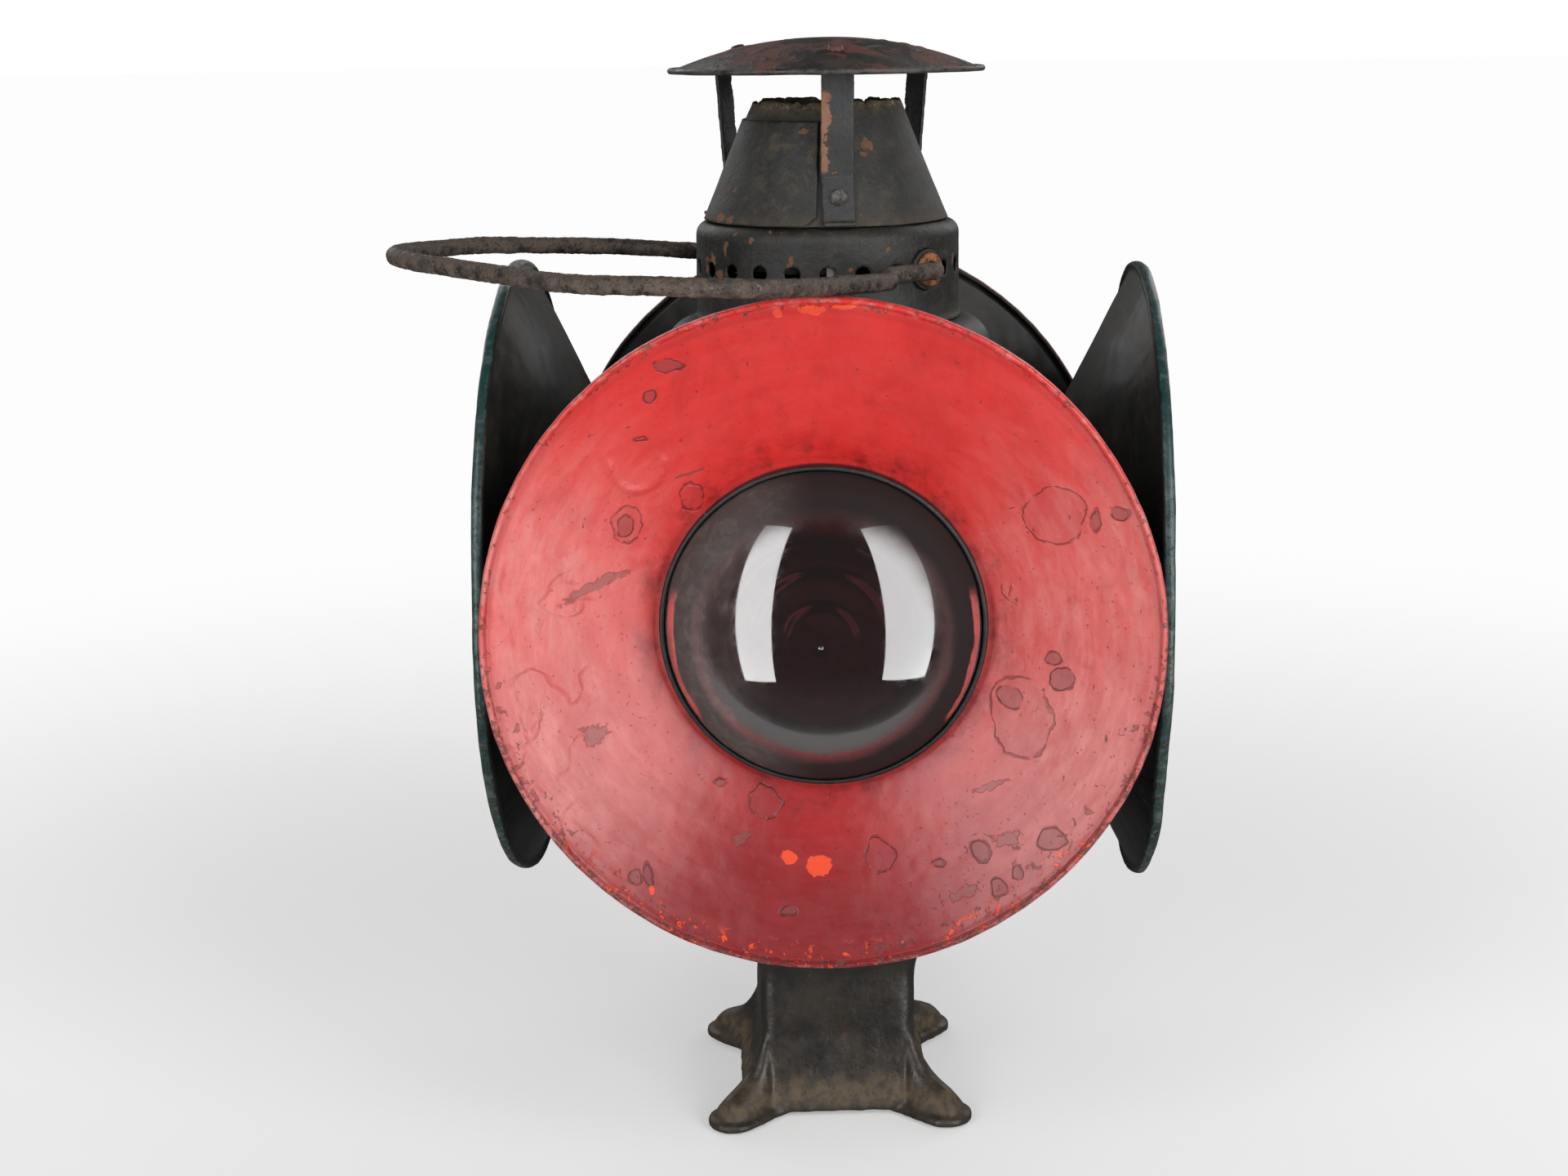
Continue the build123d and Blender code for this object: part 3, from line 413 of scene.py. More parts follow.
def target_paint(
    name, side, bright, mid, deep, chalk_sheen_colour, primer, blisters=(), flecks=(), runs=(), scrapes=(),
    scab_dark=(0.055, 0.026, 0.018), scab_light=(0.24, 0.115, 0.075), pale_top_share=0,
):
    """Old enamel on a day target: blistered and chalky in front, chipped round the rolled rim, black behind;
    its colour also holds painted shade, from top to bottom and in the groove, and painted highlights at the
    sides, on the rim's crest and on the back.

    Places are mm to the right of the lens axis and above it, as seen from outside, then half sizes in mm.
    """
    s = Surface(name, 0.34)
    angle = SIDES[side]
    s.feed("Coat Weight", 0.22)
    s.feed("Coat Roughness", 0.24)
    flat = s.mapped((0, 0, -LENS_HEIGHT * MM), -angle)
    x, _, z = s.split(flat)
    radius = s.reach(x, z)
    wander = s.bent(s.bent(flat, 17, 0.0085), 4, 0.0024)
    round_place = s.polar(x, z, radius)
    whole = s.place
    s.place = flat                  # from here on, noise is drawn in the target's own plane

    # the field: painted shade, bright at the top and deep below; at the sides chalking mixed with a painted
    # reflection of the side lights, in brush marks that run round
    cloud = s.less(s.noise(46, 5, 0.62), 0.5)
    level = s.plus(z, s.times(cloud, 0.08))
    # painted shade: the paint goes from bright at the top through mid to deep at the bottom, by height
    s.colour = s.mix(s.step(level, 0.045, -0.06), bright, mid)
    s.cover(s.step(level, -0.03, -0.11), deep)
    brush = s.spots(0.36, 0.66, 5, 6, 0.72, 0.2, round_place)
    wide_brush = s.spots(0.3, 0.7, 16, 4, 0.6, 0.2, round_place)
    # at the left and right sides: chalking together with a painted reflection of the side lights, less of it
    # low down and none at the top
    sideways = s.step(s.plus(s.maths("ABSOLUTE", x), s.times(cloud, 0.05)), 0.03, 0.098)
    lower = s.between(s.step(z, -0.045, -0.095), 1, 0.55)
    side_chalk_sheen_zone = s.times(sideways, s.times(s.step(z, 0.1, 0.02), lower))
    side_chalk_sheen = s.times(side_chalk_sheen_zone, s.between(brush, 0.42, 0.8))
    side_chalk_sheen = s.plus(s.times(side_chalk_sheen, s.between(wide_brush, 0.55, 1)), s.times(brush, 0.05))
    s.cover(side_chalk_sheen, chalk_sheen_colour)
    stain = s.spots(0.54, 0.72, 9, 7, 0.75, 0.6)
    s.cover(stain, shade(deep, 0.5), 0.22)
    speck = s.spots(0.655, 0.72, 1.7, 3, 0.6)
    s.cover(speck, shade(deep, 0.45), 0.5)
    smear = s.spots(0.44, 0.66, 24, 6, 0.72, 0.8, s.mapped(scale=(1, 1, 0.5)))
    s.cover(smear, shade(mid, 0.55), 0.2)
    # darker in patches close to the lens ring
    near_ring_dark = s.times(s.step(radius, 0.074, 0.061), s.spots(0.42, 0.66, 12, 6, 0.7))
    s.cover(near_ring_dark, shade(deep, 0.25), 0.55)

    # blisters: a thin dark outline broken here and there, a duller middle
    outline, inside = 0, 0
    for right, above, wide, tall in blisters:
        far = s.oval(wander, right, above, wide, tall)
        width = 0.5 / min(wide, tall)
        ring = s.step(s.maths("ABSOLUTE", s.less(far, 1)), width, width * 0.25)
        outline = s.most(outline, ring)
        inside = s.most(inside, s.times(s.step(far, 1.02, 0.96), 0.5 if max(wide, tall) < 4.9 else 0.14))
    broken = s.spots(0.33, 0.5, 6, 3, 0.6)
    outline = s.times(outline, broken)
    s.cover(inside, shade(deep, 0.6, 0.03))
    s.cover(outline, shade(deep, 0.24, 0.006), 0.55)

    # loose chips, thickest near the rim and low down on the right
    low_right = s.times(s.step(x, 0.02, 0.07), s.step(z, -0.045, -0.075))
    rim_zone = s.times(s.step(radius, 0.103, 0.117), s.step(z, 0.05, -0.04))
    many = s.most(s.times(low_right, 0.8), rim_zone, 0.05)
    loose = s.plus(s.noise(4.2, 3, 0.6, 0.5), s.times(many, 0.15))
    chips = s.step(loose, 0.735, 0.75)
    chip_line = s.times(chips, s.step(loose, 0.775, 0.755))
    s.cover(chips, shade(deep, 0.62, 0.01), 0.45)
    s.cover(chip_line, (0.045, 0.02, 0.018), 0.55)

    # scrapes: ragged brown gouges that lie along one line
    slanted = s.mapped(place=wander, tilt=SCRAPE_TURN)
    eaten = s.times(s.noise(2.4, 4, 0.7), 1.6)
    gouges = 0
    for right, above, length, width in scrapes:
        turn = radians(SCRAPE_TURN)
        along = right * cos(turn) + above * sin(turn)
        aside = above * cos(turn) - right * sin(turn)
        far = s.oval(slanted, along, aside, length, width)
        gouges = s.most(gouges, s.step(s.plus(far, eaten), 1.55, 1.35))
    s.cover(gouges, s.mix(s.noise(1.6, 3, place=whole), (0.11, 0.022, 0.02), (0.3, 0.07, 0.058)), 0.7)

    # short cracks, mostly upright, on the right third
    upright_place = s.mapped(scale=(1, 1, 0.22), place=s.mapped(tilt=-8))
    cracks = s.spots(0.715, 0.75, 2, 2, 0.5, 0.35, upright_place)
    cracks = s.times(cracks, s.times(s.step(x, 0.04, 0.08), s.spots(0.42, 0.56, 18, 2)))
    s.cover(cracks, shade(deep, 0.3), 0.75)

    # fresh bright primer where paint has fallen off
    bare = 0
    for right, above, wide, tall in flecks:
        far = s.oval(wander, right, above, wide, tall)
        bare = s.most(bare, s.step(s.plus(far, s.times(eaten, 0.5)), 1.45, 1.35))
    rim_fleck = s.times(s.step(radius, 0.1095, 0.1155), s.spots(0.565, 0.6, 3.4, 5, 0.7))
    bare = s.most(bare, s.times(rim_fleck, s.step(z, -0.055, -0.085)))
    s.cover(bare, primer, 0.9)

    # the rolled rim: painted shade in a clean thin groove, then rust and a rubbed crest with a painted
    # highlight
    # painted shade along the groove
    groove = s.times(s.step(radius, 0.115, 0.1158), s.step(radius, 0.1178, 0.1172))
    s.cover(groove, shade(mid, 0.62), 0.2)
    lip = s.step(radius, 0.1168, 0.1178)
    low = s.step(z, 0.06, -0.05)
    scab_level = s.plus(s.noise(3.2, 6, 0.74), s.times(low, 0.06))
    scabs = s.times(lip, s.step(scab_level, 0.57, 0.64))
    rust = s.mix(s.noise(1.5, 4, place=whole), scab_dark, scab_light)
    s.cover(scabs, rust, 0.8)
    # paler on the crest of the rolled rim: rubbed paint together with a painted highlight
    rubbed_lit_crest = s.times(s.step(radius, 0.1178, 0.1188), s.spots(0.47, 0.62, 6, 7, 0.74))
    s.cover(rubbed_lit_crest, tuple(min(1, c * 0.75 + 0.12) for c in chalk_sheen_colour), 0.35)

    # black back, the paint line ragged round the rim
    out = s.times(s.split(s.mapped(turn=-angle, place=s.normal))[1], -1)
    ragged = s.times(s.less(s.noise(4, 4), 0.5), 0.6)
    front = s.step(s.plus(out, ragged), -0.42, -0.22)
    back = s.mix(s.spots(0.4, 0.7, 24, 5), (0.0085, 0.0088, 0.0088), (0.019, 0.018, 0.0165))
    freckles = s.spots(0.68, 0.74, 7, 6, 0.65)
    back = s.mix(s.times(freckles, 0.5), back, (0.085, 0.042, 0.026))
    # brown dust together with a painted highlight, on the upper half of the back
    back_dust_and_sheen = s.times(s.spots(0.42, 0.72, 9, 8, 0.8, 0.5, round_place), s.step(z, -0.01, 0.1))
    back = s.mix(s.times(back_dust_and_sheen, 0.42), back, (0.135, 0.105, 0.078))
    s.colour = s.mix(front, back, s.colour)
    # the top of the rim made paler, in patches
    pale_top = s.times(s.step(z, 0.115, 0.1175), s.spots(0.36, 0.58, 1.8, 5, 0.75, place=whole))
    s.cover(pale_top, (0.52, 0.52, 0.49), pale_top_share)
    s.feed("Specular IOR Level", s.between(front, 0.2, 0.5))

    scuffed = s.most(chips, scabs, s.times(side_chalk_sheen, 0.9), inside)
    face_rough = s.between(scuffed, s.between(s.noise(8, 5), 0.26, 0.42), 0.6)
    roughness = s.between(front, s.between(back_dust_and_sheen, 0.5, 0.72), face_rough)
    peel = s.plus(s.times(s.noise(3.2, 4, 0.55), 0.2), s.times(s.noise(13, 2), 0.25))
    wavy = s.spots(0.45, 0.545, 17, 2, 0.4, 0.5)
    sags = s.times(wavy, s.times(s.step(x, -0.076, -0.088), s.times(s.step(z, 0.038, 0.024), 0.9)))
    for right, above, wide, tall in runs:
        far = s.oval(wander, right, above, wide, tall)
        lower = s.step(z, (above + tall * 0.4) * MM, (above - tall * 0.2) * MM)
        sags = s.most(sags, s.times(s.step(s.maths("ABSOLUTE", s.less(far, 1)), 0.32, 0), lower))
    bump = s.plus(peel, sags)
    bump = s.plus(bump, s.times(inside, 0.7))
    bump = s.less(bump, s.times(outline, 0.5))
    bump = s.less(bump, s.times(s.most(chips, bare, gouges), 0.35))
    bump = s.less(bump, s.times(s.most(scabs, cracks, s.times(speck, 0.4)), 0.5))
    return s.finish(roughness, bump, 0.55)


def cast_iron():
    """Thin black paint over a sand casting, brown where it wears through, golden dust round the foot."""
    s = Surface("cast_iron", 0.38)
    height = s.split()[2]
    cloud = s.noise(24, 7, 0.68)
    s.colour = s.mix(s.step(cloud, 0.36, 0.66), (0.0175, 0.0165, 0.0155), (0.034, 0.026, 0.019))
    level = s.plus(height, s.times(s.less(s.noise(16, 4), 0.5), 0.022))
    foot = s.times(s.step(level, 0.019, 0.01), s.between(s.step(height, 0.003, 0.008), 0.3, 1))
    gold = s.times(foot, s.between(s.spots(0.38, 0.62, 5, 7, 0.72), 0.25, 0.95))
    s.cover(gold, s.mix(s.noise(6, 5, 0.7), (0.072, 0.05, 0.026), (0.15, 0.102, 0.052)))
    rust = s.spots(0.6, 0.74, 10, 5, 0.6)
    s.cover(rust, (0.11, 0.052, 0.022), 0.55)
    edge = s.worn_edge(2.2, 0.015, 0.12)
    s.cover(edge, (0.016, 0.017, 0.018), 0.35)
    grain = s.spots(0.68, 0.75, 1.1, 3, 0.6)
    s.cover(grain, (0.21, 0.175, 0.12), 0.3)
    satin = s.between(s.spots(0.35, 0.65, 9, 6, 0.7), 0.26, 0.5)
    roughness = s.between(s.most(s.times(gold, 0.8), rust), satin, 0.7)
    roughness = s.between(s.times(edge, 0.8), roughness, 0.22)
    bump = s.plus(s.times(s.noise(1.8, 5, 0.62), 0.35), s.times(s.noise(8, 4), 0.6))
    return s.finish(roughness, bump, 0.55)


def rusty_steel(name, dark, light, pit=1.6, shine=0.5):
    """Bare steel gone brown: pitted, with dark scale and lighter rust dust."""
    s = Surface(name, 0.55)
    patch = s.noise(pit * 4, 6, 0.7, 0.3)
    s.colour = s.mix(s.step(patch, 0.36, 0.64), dark, light)
    pits = s.step(s.cells(pit), 0.32, 0.12)
    s.cover(pits, shade(dark, 0.35), 0.6)
    dusty = s.spots(0.58, 0.7, pit * 1.2, 4, 0.7)
    s.cover(dusty, shade(light, 1.6, 0.05), 0.6)
    roughness = s.between(s.step(patch, 0.4, 0.6), shine, 0.85)
    metal = s.between(s.step(patch, 0.45, 0.3), 0.1, 0.5)
    bump = s.less(s.noise(pit, 5, 0.65), s.times(pits, 0.5))
    return s.finish(roughness, bump, 0.45, metal)


def cap_paint():
    """Black paint worn through to red oxide on the top of the cap, pale at the rim."""
    s = Surface("cap_paint", 0.36)
    x, y, _ = s.split()
    radius = s.reach(x, y)
    s.colour = s.mix(s.spots(0.4, 0.68, 18, 5), (0.016, 0.015, 0.014), (0.05, 0.043, 0.038))
    middle = s.times(s.step(radius, 0.058, 0.035), 0.06)
    bare = s.step(s.plus(s.noise(17, 6, 0.66, 0.4), middle), 0.5, 0.63)
    oxide = s.mix(s.noise(4, 6, 0.7), (0.085, 0.026, 0.019), (0.17, 0.056, 0.038))
    top = s.step(s.split(s.normal)[2], 0.05, 0.3)
    s.cover(s.times(bare, top), oxide, 0.85)
    rim = s.times(s.step(radius, 0.0565, 0.0592), s.spots(0.4, 0.58, 5, 6, 0.72))
    s.cover(rim, s.mix(s.noise(3, 4), (0.03, 0.026, 0.026), (0.15, 0.135, 0.125)), 0.5)
    fleck = s.spots(0.76, 0.8, 1.6, 2)
    s.cover(fleck, (0.3, 0.24, 0.2), 0.5)
    roughness = s.between(s.most(bare, rim), s.between(s.noise(5, 5), 0.24, 0.42), 0.6)
    bump = s.plus(s.times(s.noise(3, 6, 0.6), 0.6), s.times(bare, -0.3))
    return s.finish(roughness, bump, 0.5)


def coloured_glass(name, tint, across):
    """Thick pressed glass, hard and bright in the middle, filmed with dirt, most on the left and low down,
    and opaque and dark round the edge with painted shade.

    across is the coordinate, 0 or 1, that runs sideways over the lens.
    """
    s = Surface(name, 0.03)
    s.feed("IOR", 1.52)
    s.feed("Coat IOR", 1.85)
    along = s.split()
    height = s.less(along[2], LENS_HEIGHT * MM)
    side = along[across]
    wobble = s.times(s.less(s.noise(14, 2), 0.5), 0.003)
    radius = s.plus(s.reach(side, height), wobble)
    # painted shade: the outer zone of the glass is made opaque and dark, as thick glass looks at its edge;
    # the outermost rim is left clear at both sides about mid height
    clean_edge = s.times(s.step(radius, 0.0532, 0.054), s.step(s.maths("ABSOLUTE", side), 0.043, 0.046))
    clean_edge = s.times(clean_edge, s.times(s.step(height, 0.017, 0.008), s.step(height, -0.038, -0.03)))
    edge = s.less(s.step(radius, 0.037, 0.048), clean_edge)
    scratch = s.spots(0.46, 0.72, 2, 6, 0.78, place=s.mapped(scale=(1, 1, 0.16)))
    mottle = s.spots(0.42, 0.7, 7, 7, 0.75, 0.6)
    left = s.times(s.step(side, -0.01, -0.034), s.step(height, -0.04, -0.024))
    low = s.times(s.step(height, -0.012, -0.022), s.step(radius, 0.047, 0.04))
    film = s.most(s.times(left, 0.4), s.times(low, 0.12), 0.04)
    film = s.times(film, s.between(s.most(scratch, mottle), 0.55, 1))
    s.colour = s.mix(film, tint, (0.36, 0.33, 0.32))
    # the dark edge is painted lighter on the left, where the light falls, mottled like haze
    haze_and_light_left = s.times(s.step(side, 0, -0.03), s.between(mottle, 0.55, 1))
    s.cover(edge, s.mix(haze_and_light_left, (0.024, 0.02, 0.02), (0.105, 0.098, 0.092)))
    s.feed("Transmission Weight", s.between(edge, s.between(film, 0.97, 0.3), 0))
    s.feed("Coat Weight", s.between(edge, s.between(film, 1, 0.65), 0.02))
    s.feed("Specular IOR Level", s.between(edge, 0.5, 0.03))
    s.feed("Coat Roughness", s.between(s.most(film, s.times(scratch, 0.16)), 0.012, 0.14))
    roughness = s.between(edge, s.between(mottle, 0.02, 0.16), 0.42)
    bump = s.plus(s.noise(22, 2, 0.4), s.times(s.spots(0.76, 0.8, 1.2, 2), 0.5))
    return s.finish(roughness, bump, 0.1)


def plain_metal(name, dark, light, roughness, metallic, size=5):
    """Tarnished sheet metal."""
    s = Surface(name, roughness, metallic)
    cloud = s.spots(0.35, 0.66, size * 3, 6, 0.68)
    s.colour = s.mix(cloud, dark, light)
    spot = s.spots(0.64, 0.71, size * 0.6, 5, 0.65)
    s.cover(spot, shade(dark, 0.3), 0.6)
    rough = s.between(s.most(spot, cloud), roughness + 0.18, roughness - 0.05)
    return s.finish(rough, s.noise(size * 0.5, 5), 0.25)


def cotton():
    """A woven wick: charred at the top."""
    s = Surface("wick_cotton", 0.9)
    x, _, z = s.split()
    weave = s.times(s.maths("SINE", s.times(x, 5200)), s.maths("SINE", s.times(z, 4600)))
    char = s.step(s.plus(z, s.times(s.noise(2, 3), 0.003)), 0.2015, 0.2065)
    s.colour = s.mix(s.noise(3, 5), (0.42, 0.36, 0.25), (0.62, 0.56, 0.43))
    s.cover(char, (0.012, 0.01, 0.01))
    return s.finish(None, weave, 0.25)


def dark_rubber(name):
    s = Surface(name, 0.7)
    s.colour = s.mix(s.noise(6, 5), (0.016, 0.014, 0.013), (0.05, 0.045, 0.04))
    return s.finish(s.between(s.noise(4, 4), 0.55, 0.85), s.noise(1.4, 5), 0.3)


LAMP_BLACK = black_enamel("lamp_black", rust=0.5)
BAND_BLACK = black_enamel(
    "band_black", rust=0.6, dust=0.34, bands=((329, 321, 0.4),),
    patches=((-14, 50.5, 344, 1.6, 3.6), (-47, 50.5, 349, 1.4, 2.6), (-52, 50.5, 340, 2.4, 2),
             (12, 50.5, 338, 1.3, 2), (28, 50.5, 349, 1.2, 1.2), (70, 50.5, 343, 1.6, 3)),
)
CHIMNEY_BLACK = black_enamel(
    "chimney_black", (0.012, 0.0119, 0.0114), 0.45, 0.55, 0.52, ((365, 357, 0.6), (394, 401, 0.95)),
    patches=((27, 34, 386, 2.2, 3.2), (24, 36, 383, 1.4, 1.6), (17, 45, 363, 1, 2.2)),
)
WRAP_BLACK = black_enamel(
    "wrap_black", (0.0115, 0.0118, 0.0118), 0.35, 0.75, 0.5, ((364, 357.5, 0.6),),
    patches=((-12, 33, 391, 1.6, 1.9), (-53, 42, 370, 1.3, 1.4), (-58, 46, 360, 3.2, 1.9),
             (-50, 47, 359.5, 2.6, 1.4)),
)
STRAP_BLACK = black_enamel("strap_black", (0.015, 0.016, 0.017), 0.4, 0.25, 0.42)
FRONT_STRAP_BLACK = black_enamel(
    "front_strap_black", (0.015, 0.016, 0.0172), 0.1, 0.2, 0.42, ((363, 358, 0.5),),
    chipped=(STRAP_TURN, 376, 407),
)
RING_BLACK = black_enamel("ring_black", (0.0075, 0.0077, 0.0078), 0.1, 0.2, 0.34)
CAST = cast_iron()
CAP = cap_paint()
WIRE = rusty_steel("wire_rust", (0.032, 0.025, 0.021), (0.115, 0.082, 0.062), 1.3, 0.42)
RIVET = rusty_steel("rivet_steel", (0.04, 0.04, 0.04), (0.15, 0.14, 0.13), 1, 0.4)
EYELET = rusty_steel("eyelet_rust", (0.12, 0.045, 0.018), (0.42, 0.17, 0.06), 1, 0.5)
RUBY = coloured_glass("ruby_glass", (0.065, 0.0015, 0.004), 0)
GREEN_GLASS = coloured_glass("green_glass", (0.003, 0.085, 0.045), 1)
STEEL = plain_metal("dull_steel", (0.16, 0.145, 0.13), (0.36, 0.34, 0.32), 0.42, 0.85)
TIN = plain_metal("tinned_steel", (0.3, 0.29, 0.27), (0.52, 0.51, 0.48), 0.36, 0.9, 7)
BRASS = plain_metal("old_brass", (0.28, 0.17, 0.06), (0.6, 0.42, 0.17), 0.34, 1)
COTTON = cotton()
RUBBER = dark_rubber("old_gasket")

# bright, mid and deep paint a target's colour from top to bottom as painted shade; the chalk colour serves
# both chalking and a painted reflection at the sides
RED = dict(
    bright=(0.6, 0.021, 0.018), mid=(0.42, 0.014, 0.016), deep=(0.21, 0.007, 0.011),
    chalk_sheen_colour=(0.66, 0.235, 0.215), primer=(0.84, 0.075, 0.022),
)
GREEN = dict(
    bright=(0.0045, 0.038, 0.036), mid=(0.004, 0.03, 0.028), deep=(0.004, 0.022, 0.021),
    chalk_sheen_colour=(0.035, 0.075, 0.07), primer=(0.13, 0.19, 0.05),
    scab_dark=(0.02, 0.024, 0.018), scab_light=(0.1, 0.075, 0.03),
)
# marks on the front target: mm right of the lens axis and above it, then half sizes in mm
FRONT_BLISTERS = (
    (80, 43, 10.5, 10.5), (-69, 39, 5.6, 6.2), (-70, 38.5, 3, 3.6), (71, -32, 10.5, 14), (68, -26, 4.3, 4),
    (85, -17, 4.2, 4.2), (80.5, -9.5, 2.8, 2.8), (-21, -66, 5.6, 5), (20, -83, 5.5, 5.2), (81, -71, 4.2, 3.8),
    (56, -80, 4, 2.8), (-52, 98, 4.6, 2.4), (-58, 87, 2.4, 2.2), (-61, 71, 2, 1.2), (63, -90, 3, 3),
    (-38, -58, 2.3, 1.5), (-62, -87, 1.7, 4.2), (-67, -87, 2.6, 2.6), (-12, -101, 3, 1.6),
    (103, 46, 3.6, 2.4), (94, 42, 1.5, 4), (-46, 48, 4.5, 5), (70, -84, 2.2, 2), (41, -84, 1.6, 1.6),
)
FRONT_FLECKS = (
    (-12, -84, 3.8, 2.6), (-1.5, -87, 3.6, 3.4), (-62, -92, 1.6, 1.3), (-2, 116.5, 5, 2),
    (-14, 115.5, 2, 1.6), (25, -47.5, 4.6, 1.6), (10, 117.5, 4, 1.2),
)
FRONT_RUNS = ((-64, 62, 9, 10), (-103, 8, 4, 9), (-104, -26, 3, 9), (-92, 12, 7, 5), (67, 15, 1.6, 3.5))
FRONT_SCRAPES = (
    (-81, 17, 17, 2.4), (-82, -36, 4.5, 6), (60, -57, 9, 1.5), (66, -74, 8, 3.4), (-30, -76, 6, 2.6),
    (-46, 57, 8, 1.2), (50, -94, 8, 2.6),
)
TARGET_PAINT = {
    "front": target_paint(
        "front_red", "front", **RED, blisters=FRONT_BLISTERS, flecks=FRONT_FLECKS, runs=FRONT_RUNS,
        scrapes=FRONT_SCRAPES,
    ),
    "rear": target_paint(
        "rear_red", "rear", **RED, blisters=((58, 52, 7, 6), (-74, -20, 5, 8), (-30, 84, 6, 4))
    ),
    "left": target_paint(
        "left_green", "left", blisters=((50, 60, 6, 6), (-66, -30, 7, 5)), pale_top_share=0.9, **GREEN
    ),
    "right": target_paint("right_green", "right", blisters=((-58, 48, 5, 6), (70, 12, 6, 6)), **GREEN),
}
SLOT_MATERIAL = {
    "black_paint": LAMP_BLACK, "chimney_paint": CHIMNEY_BLACK, "cap_paint": CAP, "cast_iron": CAST,
    "bail_steel": WIRE, "rusty_eyelet": EYELET, "bare_steel": STEEL, "ruby_glass": RUBY,
    "green_glass": GREEN_GLASS, "gasket": RUBBER, "tinned_steel": TIN, "brass": BRASS,
    "wick_cotton": COTTON, "red_paint": TARGET_PAINT["rear"], "green_paint": TARGET_PAINT["left"],
}
for entry in record["subparts"]:
    kept = nodes[entry["node"]]
    kept.data.materials.clear()
    kept.data.materials.append(SLOT_MATERIAL[entry["material_slot"]])

# --- targets
RIM_RADIUS, RIM_OUT = 118.6, 120.9
ROOT_RADIUS, ROOT_OUT = 60.6, 90.3
BORE_RADIUS, LIP_RADIUS, SHEET = 57.3, 116.2, 1.35
SLOPE = (RIM_OUT - ROOT_OUT + 0.4) / (RIM_RADIUS - ROOT_RADIUS)


def face_out(radius):
    """How far out the sloping front face of a target is."""
    return ROOT_OUT + (radius - ROOT_RADIUS) * SLOPE


def target_profile():
    """Front face from the lens ring out, a groove, the rolled rim, then the back face home."""
    groove = ((0.4, -0.16), (0.8, -0.24), (1.1, -0.1))
    fold = LIP_RADIUS + 0.6
    front = run((BORE_RADIUS, ROOT_OUT), (ROOT_RADIUS, ROOT_OUT), 1)
    front += run((ROOT_RADIUS, ROOT_OUT), (LIP_RADIUS, face_out(LIP_RADIUS)), 0.9)
    front += [(LIP_RADIUS + along, face_out(LIP_RADIUS + along) + lift) for along, lift in groove]
    bead = arc((RIM_RADIUS, RIM_OUT - 0.9), 1.3, 2.3, 130, -130, 20)
    back = run((fold, face_out(fold) - SHEET), (60.9, 89.2), 1.6)
    return front + bead + back + run((60.9, 89.25), (BORE_RADIUS, 89.3), 1.2)


def target(side, squeeze, seed):
    """squeeze(angle) is how far the rim is pushed out, in mm, at an angle up from the right-hand side."""
    angle = SIDES[side]
    right, out = outward(angle + 90), outward(angle)

    def place(turn, radius, along):
        x, z = radius * cos(turn), radius * sin(turn)
        share = smooth_step(66, 118, radius)
        radius += share * (squeeze(turn) + 0.35 * lump(x, z, 0, 38, seed) + 0.16 * lump(x, z, 0, 7, seed))
        x, z = radius * cos(turn), radius * sin(turn)
        wave = share * (0.9 * lump(x, z, 3, 55, seed) + 0.22 * lump(x, z, 3, 14, seed))
        dimple = 0.1 * lump(x, z, 9, 5, seed) * smooth_step(61, 64, radius)
        point = right * x + out * (along + wave + dimple) + Vector((0, 0, LENS_HEIGHT + z))
        return point.x, point.y, point.z

    points, faces = turned_points(target_profile(), 540, place)
    slot = "red_paint" if side in ("front", "rear") else "green_paint"
    piece_from(f"day_target_{side}", points, faces, "lamp_body", slot, TARGET_PAINT[side], f"target_{side}")


def front_squeeze(turn):
    """The front rim stands a little proud at the top."""
    return 1.6 * max(0, sin(turn)) ** 3


def left_squeeze(turn):
    """The left rim leans out at the top and is a little oval."""
    return 3 * max(0, sin(turn)) ** 3 + 0.4 * cos(2 * turn)


target("front", front_squeeze, 1.3)
target("rear", lambda turn: 0.8 * sin(2 * turn), 4.1)
target("left", left_squeeze, 7.7)
target("right", lambda turn: 0.7 * sin(2 * turn + 0.2), 11.9)

# --- lens rings and lenses
DOME_RADIUS, DOME_SEAT, DOME_RISE = 57, 93.4, 28.9


def dome_out(radius):
    """The outer face: round in the middle and steep at the rim."""
    return DOME_SEAT + DOME_RISE * max(0, 1 - (radius / DOME_RADIUS) ** 2) ** 0.62


def dome_profile():
    """Outer face from the middle to the rim, then the stepped inner face back."""
    radii = [max(0.02, DOME_RADIUS * sin(radians(t * 1.25))) for t in range(73)]
    outer = [(radius, dome_out(radius)) for radius in radii]
    inner = [(DOME_RADIUS, 91.2), (52, 91)]
    for low, high in ((45, 51), (36, 45), (25, 36), (13, 25), (0.02, 13)):
        for share in (1, 0.75, 0.5, 0.25, 0):
            radius = low + (high - low) * share
            inner.append((radius, dome_out(radius) - 4 - 4 * (1 - share)))
    return outer + inner


RING_SECTION = [
    (57.12, 90.4), (59, 90.4), (59.2, 91.4), (59.1, 93.6), (58.85, 94.6), (58.5, 95), (58, 95.15),
    (57.5, 95.05), (57.2, 94.7), (57.12, 94),
]
for side, angle in SIDES.items():
    right, out = outward(angle + 90), outward(angle)

    def ring_place(turn, radius, along):
        x, z = radius * cos(turn), radius * sin(turn)
        nudge = 0.12 * lump(x, z, 5, 16, angle / 90 + 2)
        point = right * (x + nudge) + out * (along + nudge)
        return point.x, point.y, LENS_HEIGHT + z

    def dome_place(turn, radius, along):
        point = right * (radius * cos(turn)) + out * along
        return point.x, point.y, LENS_HEIGHT + radius * sin(turn)

    ring = turned_points(RING_SECTION, 240, ring_place)
    piece_from(f"bezel_{side}", *ring, "lamp_body", "black_paint", RING_BLACK, f"lens_ring_{side}")
    slot = "ruby_glass" if side in ("front", "rear") else "green_glass"
    dome = turned_points(dome_profile(), 160, dome_place)
    piece_from(f"dome_{side}", *dome, "lamp_body", slot, SLOT_MATERIAL[slot], f"lens_{side}")

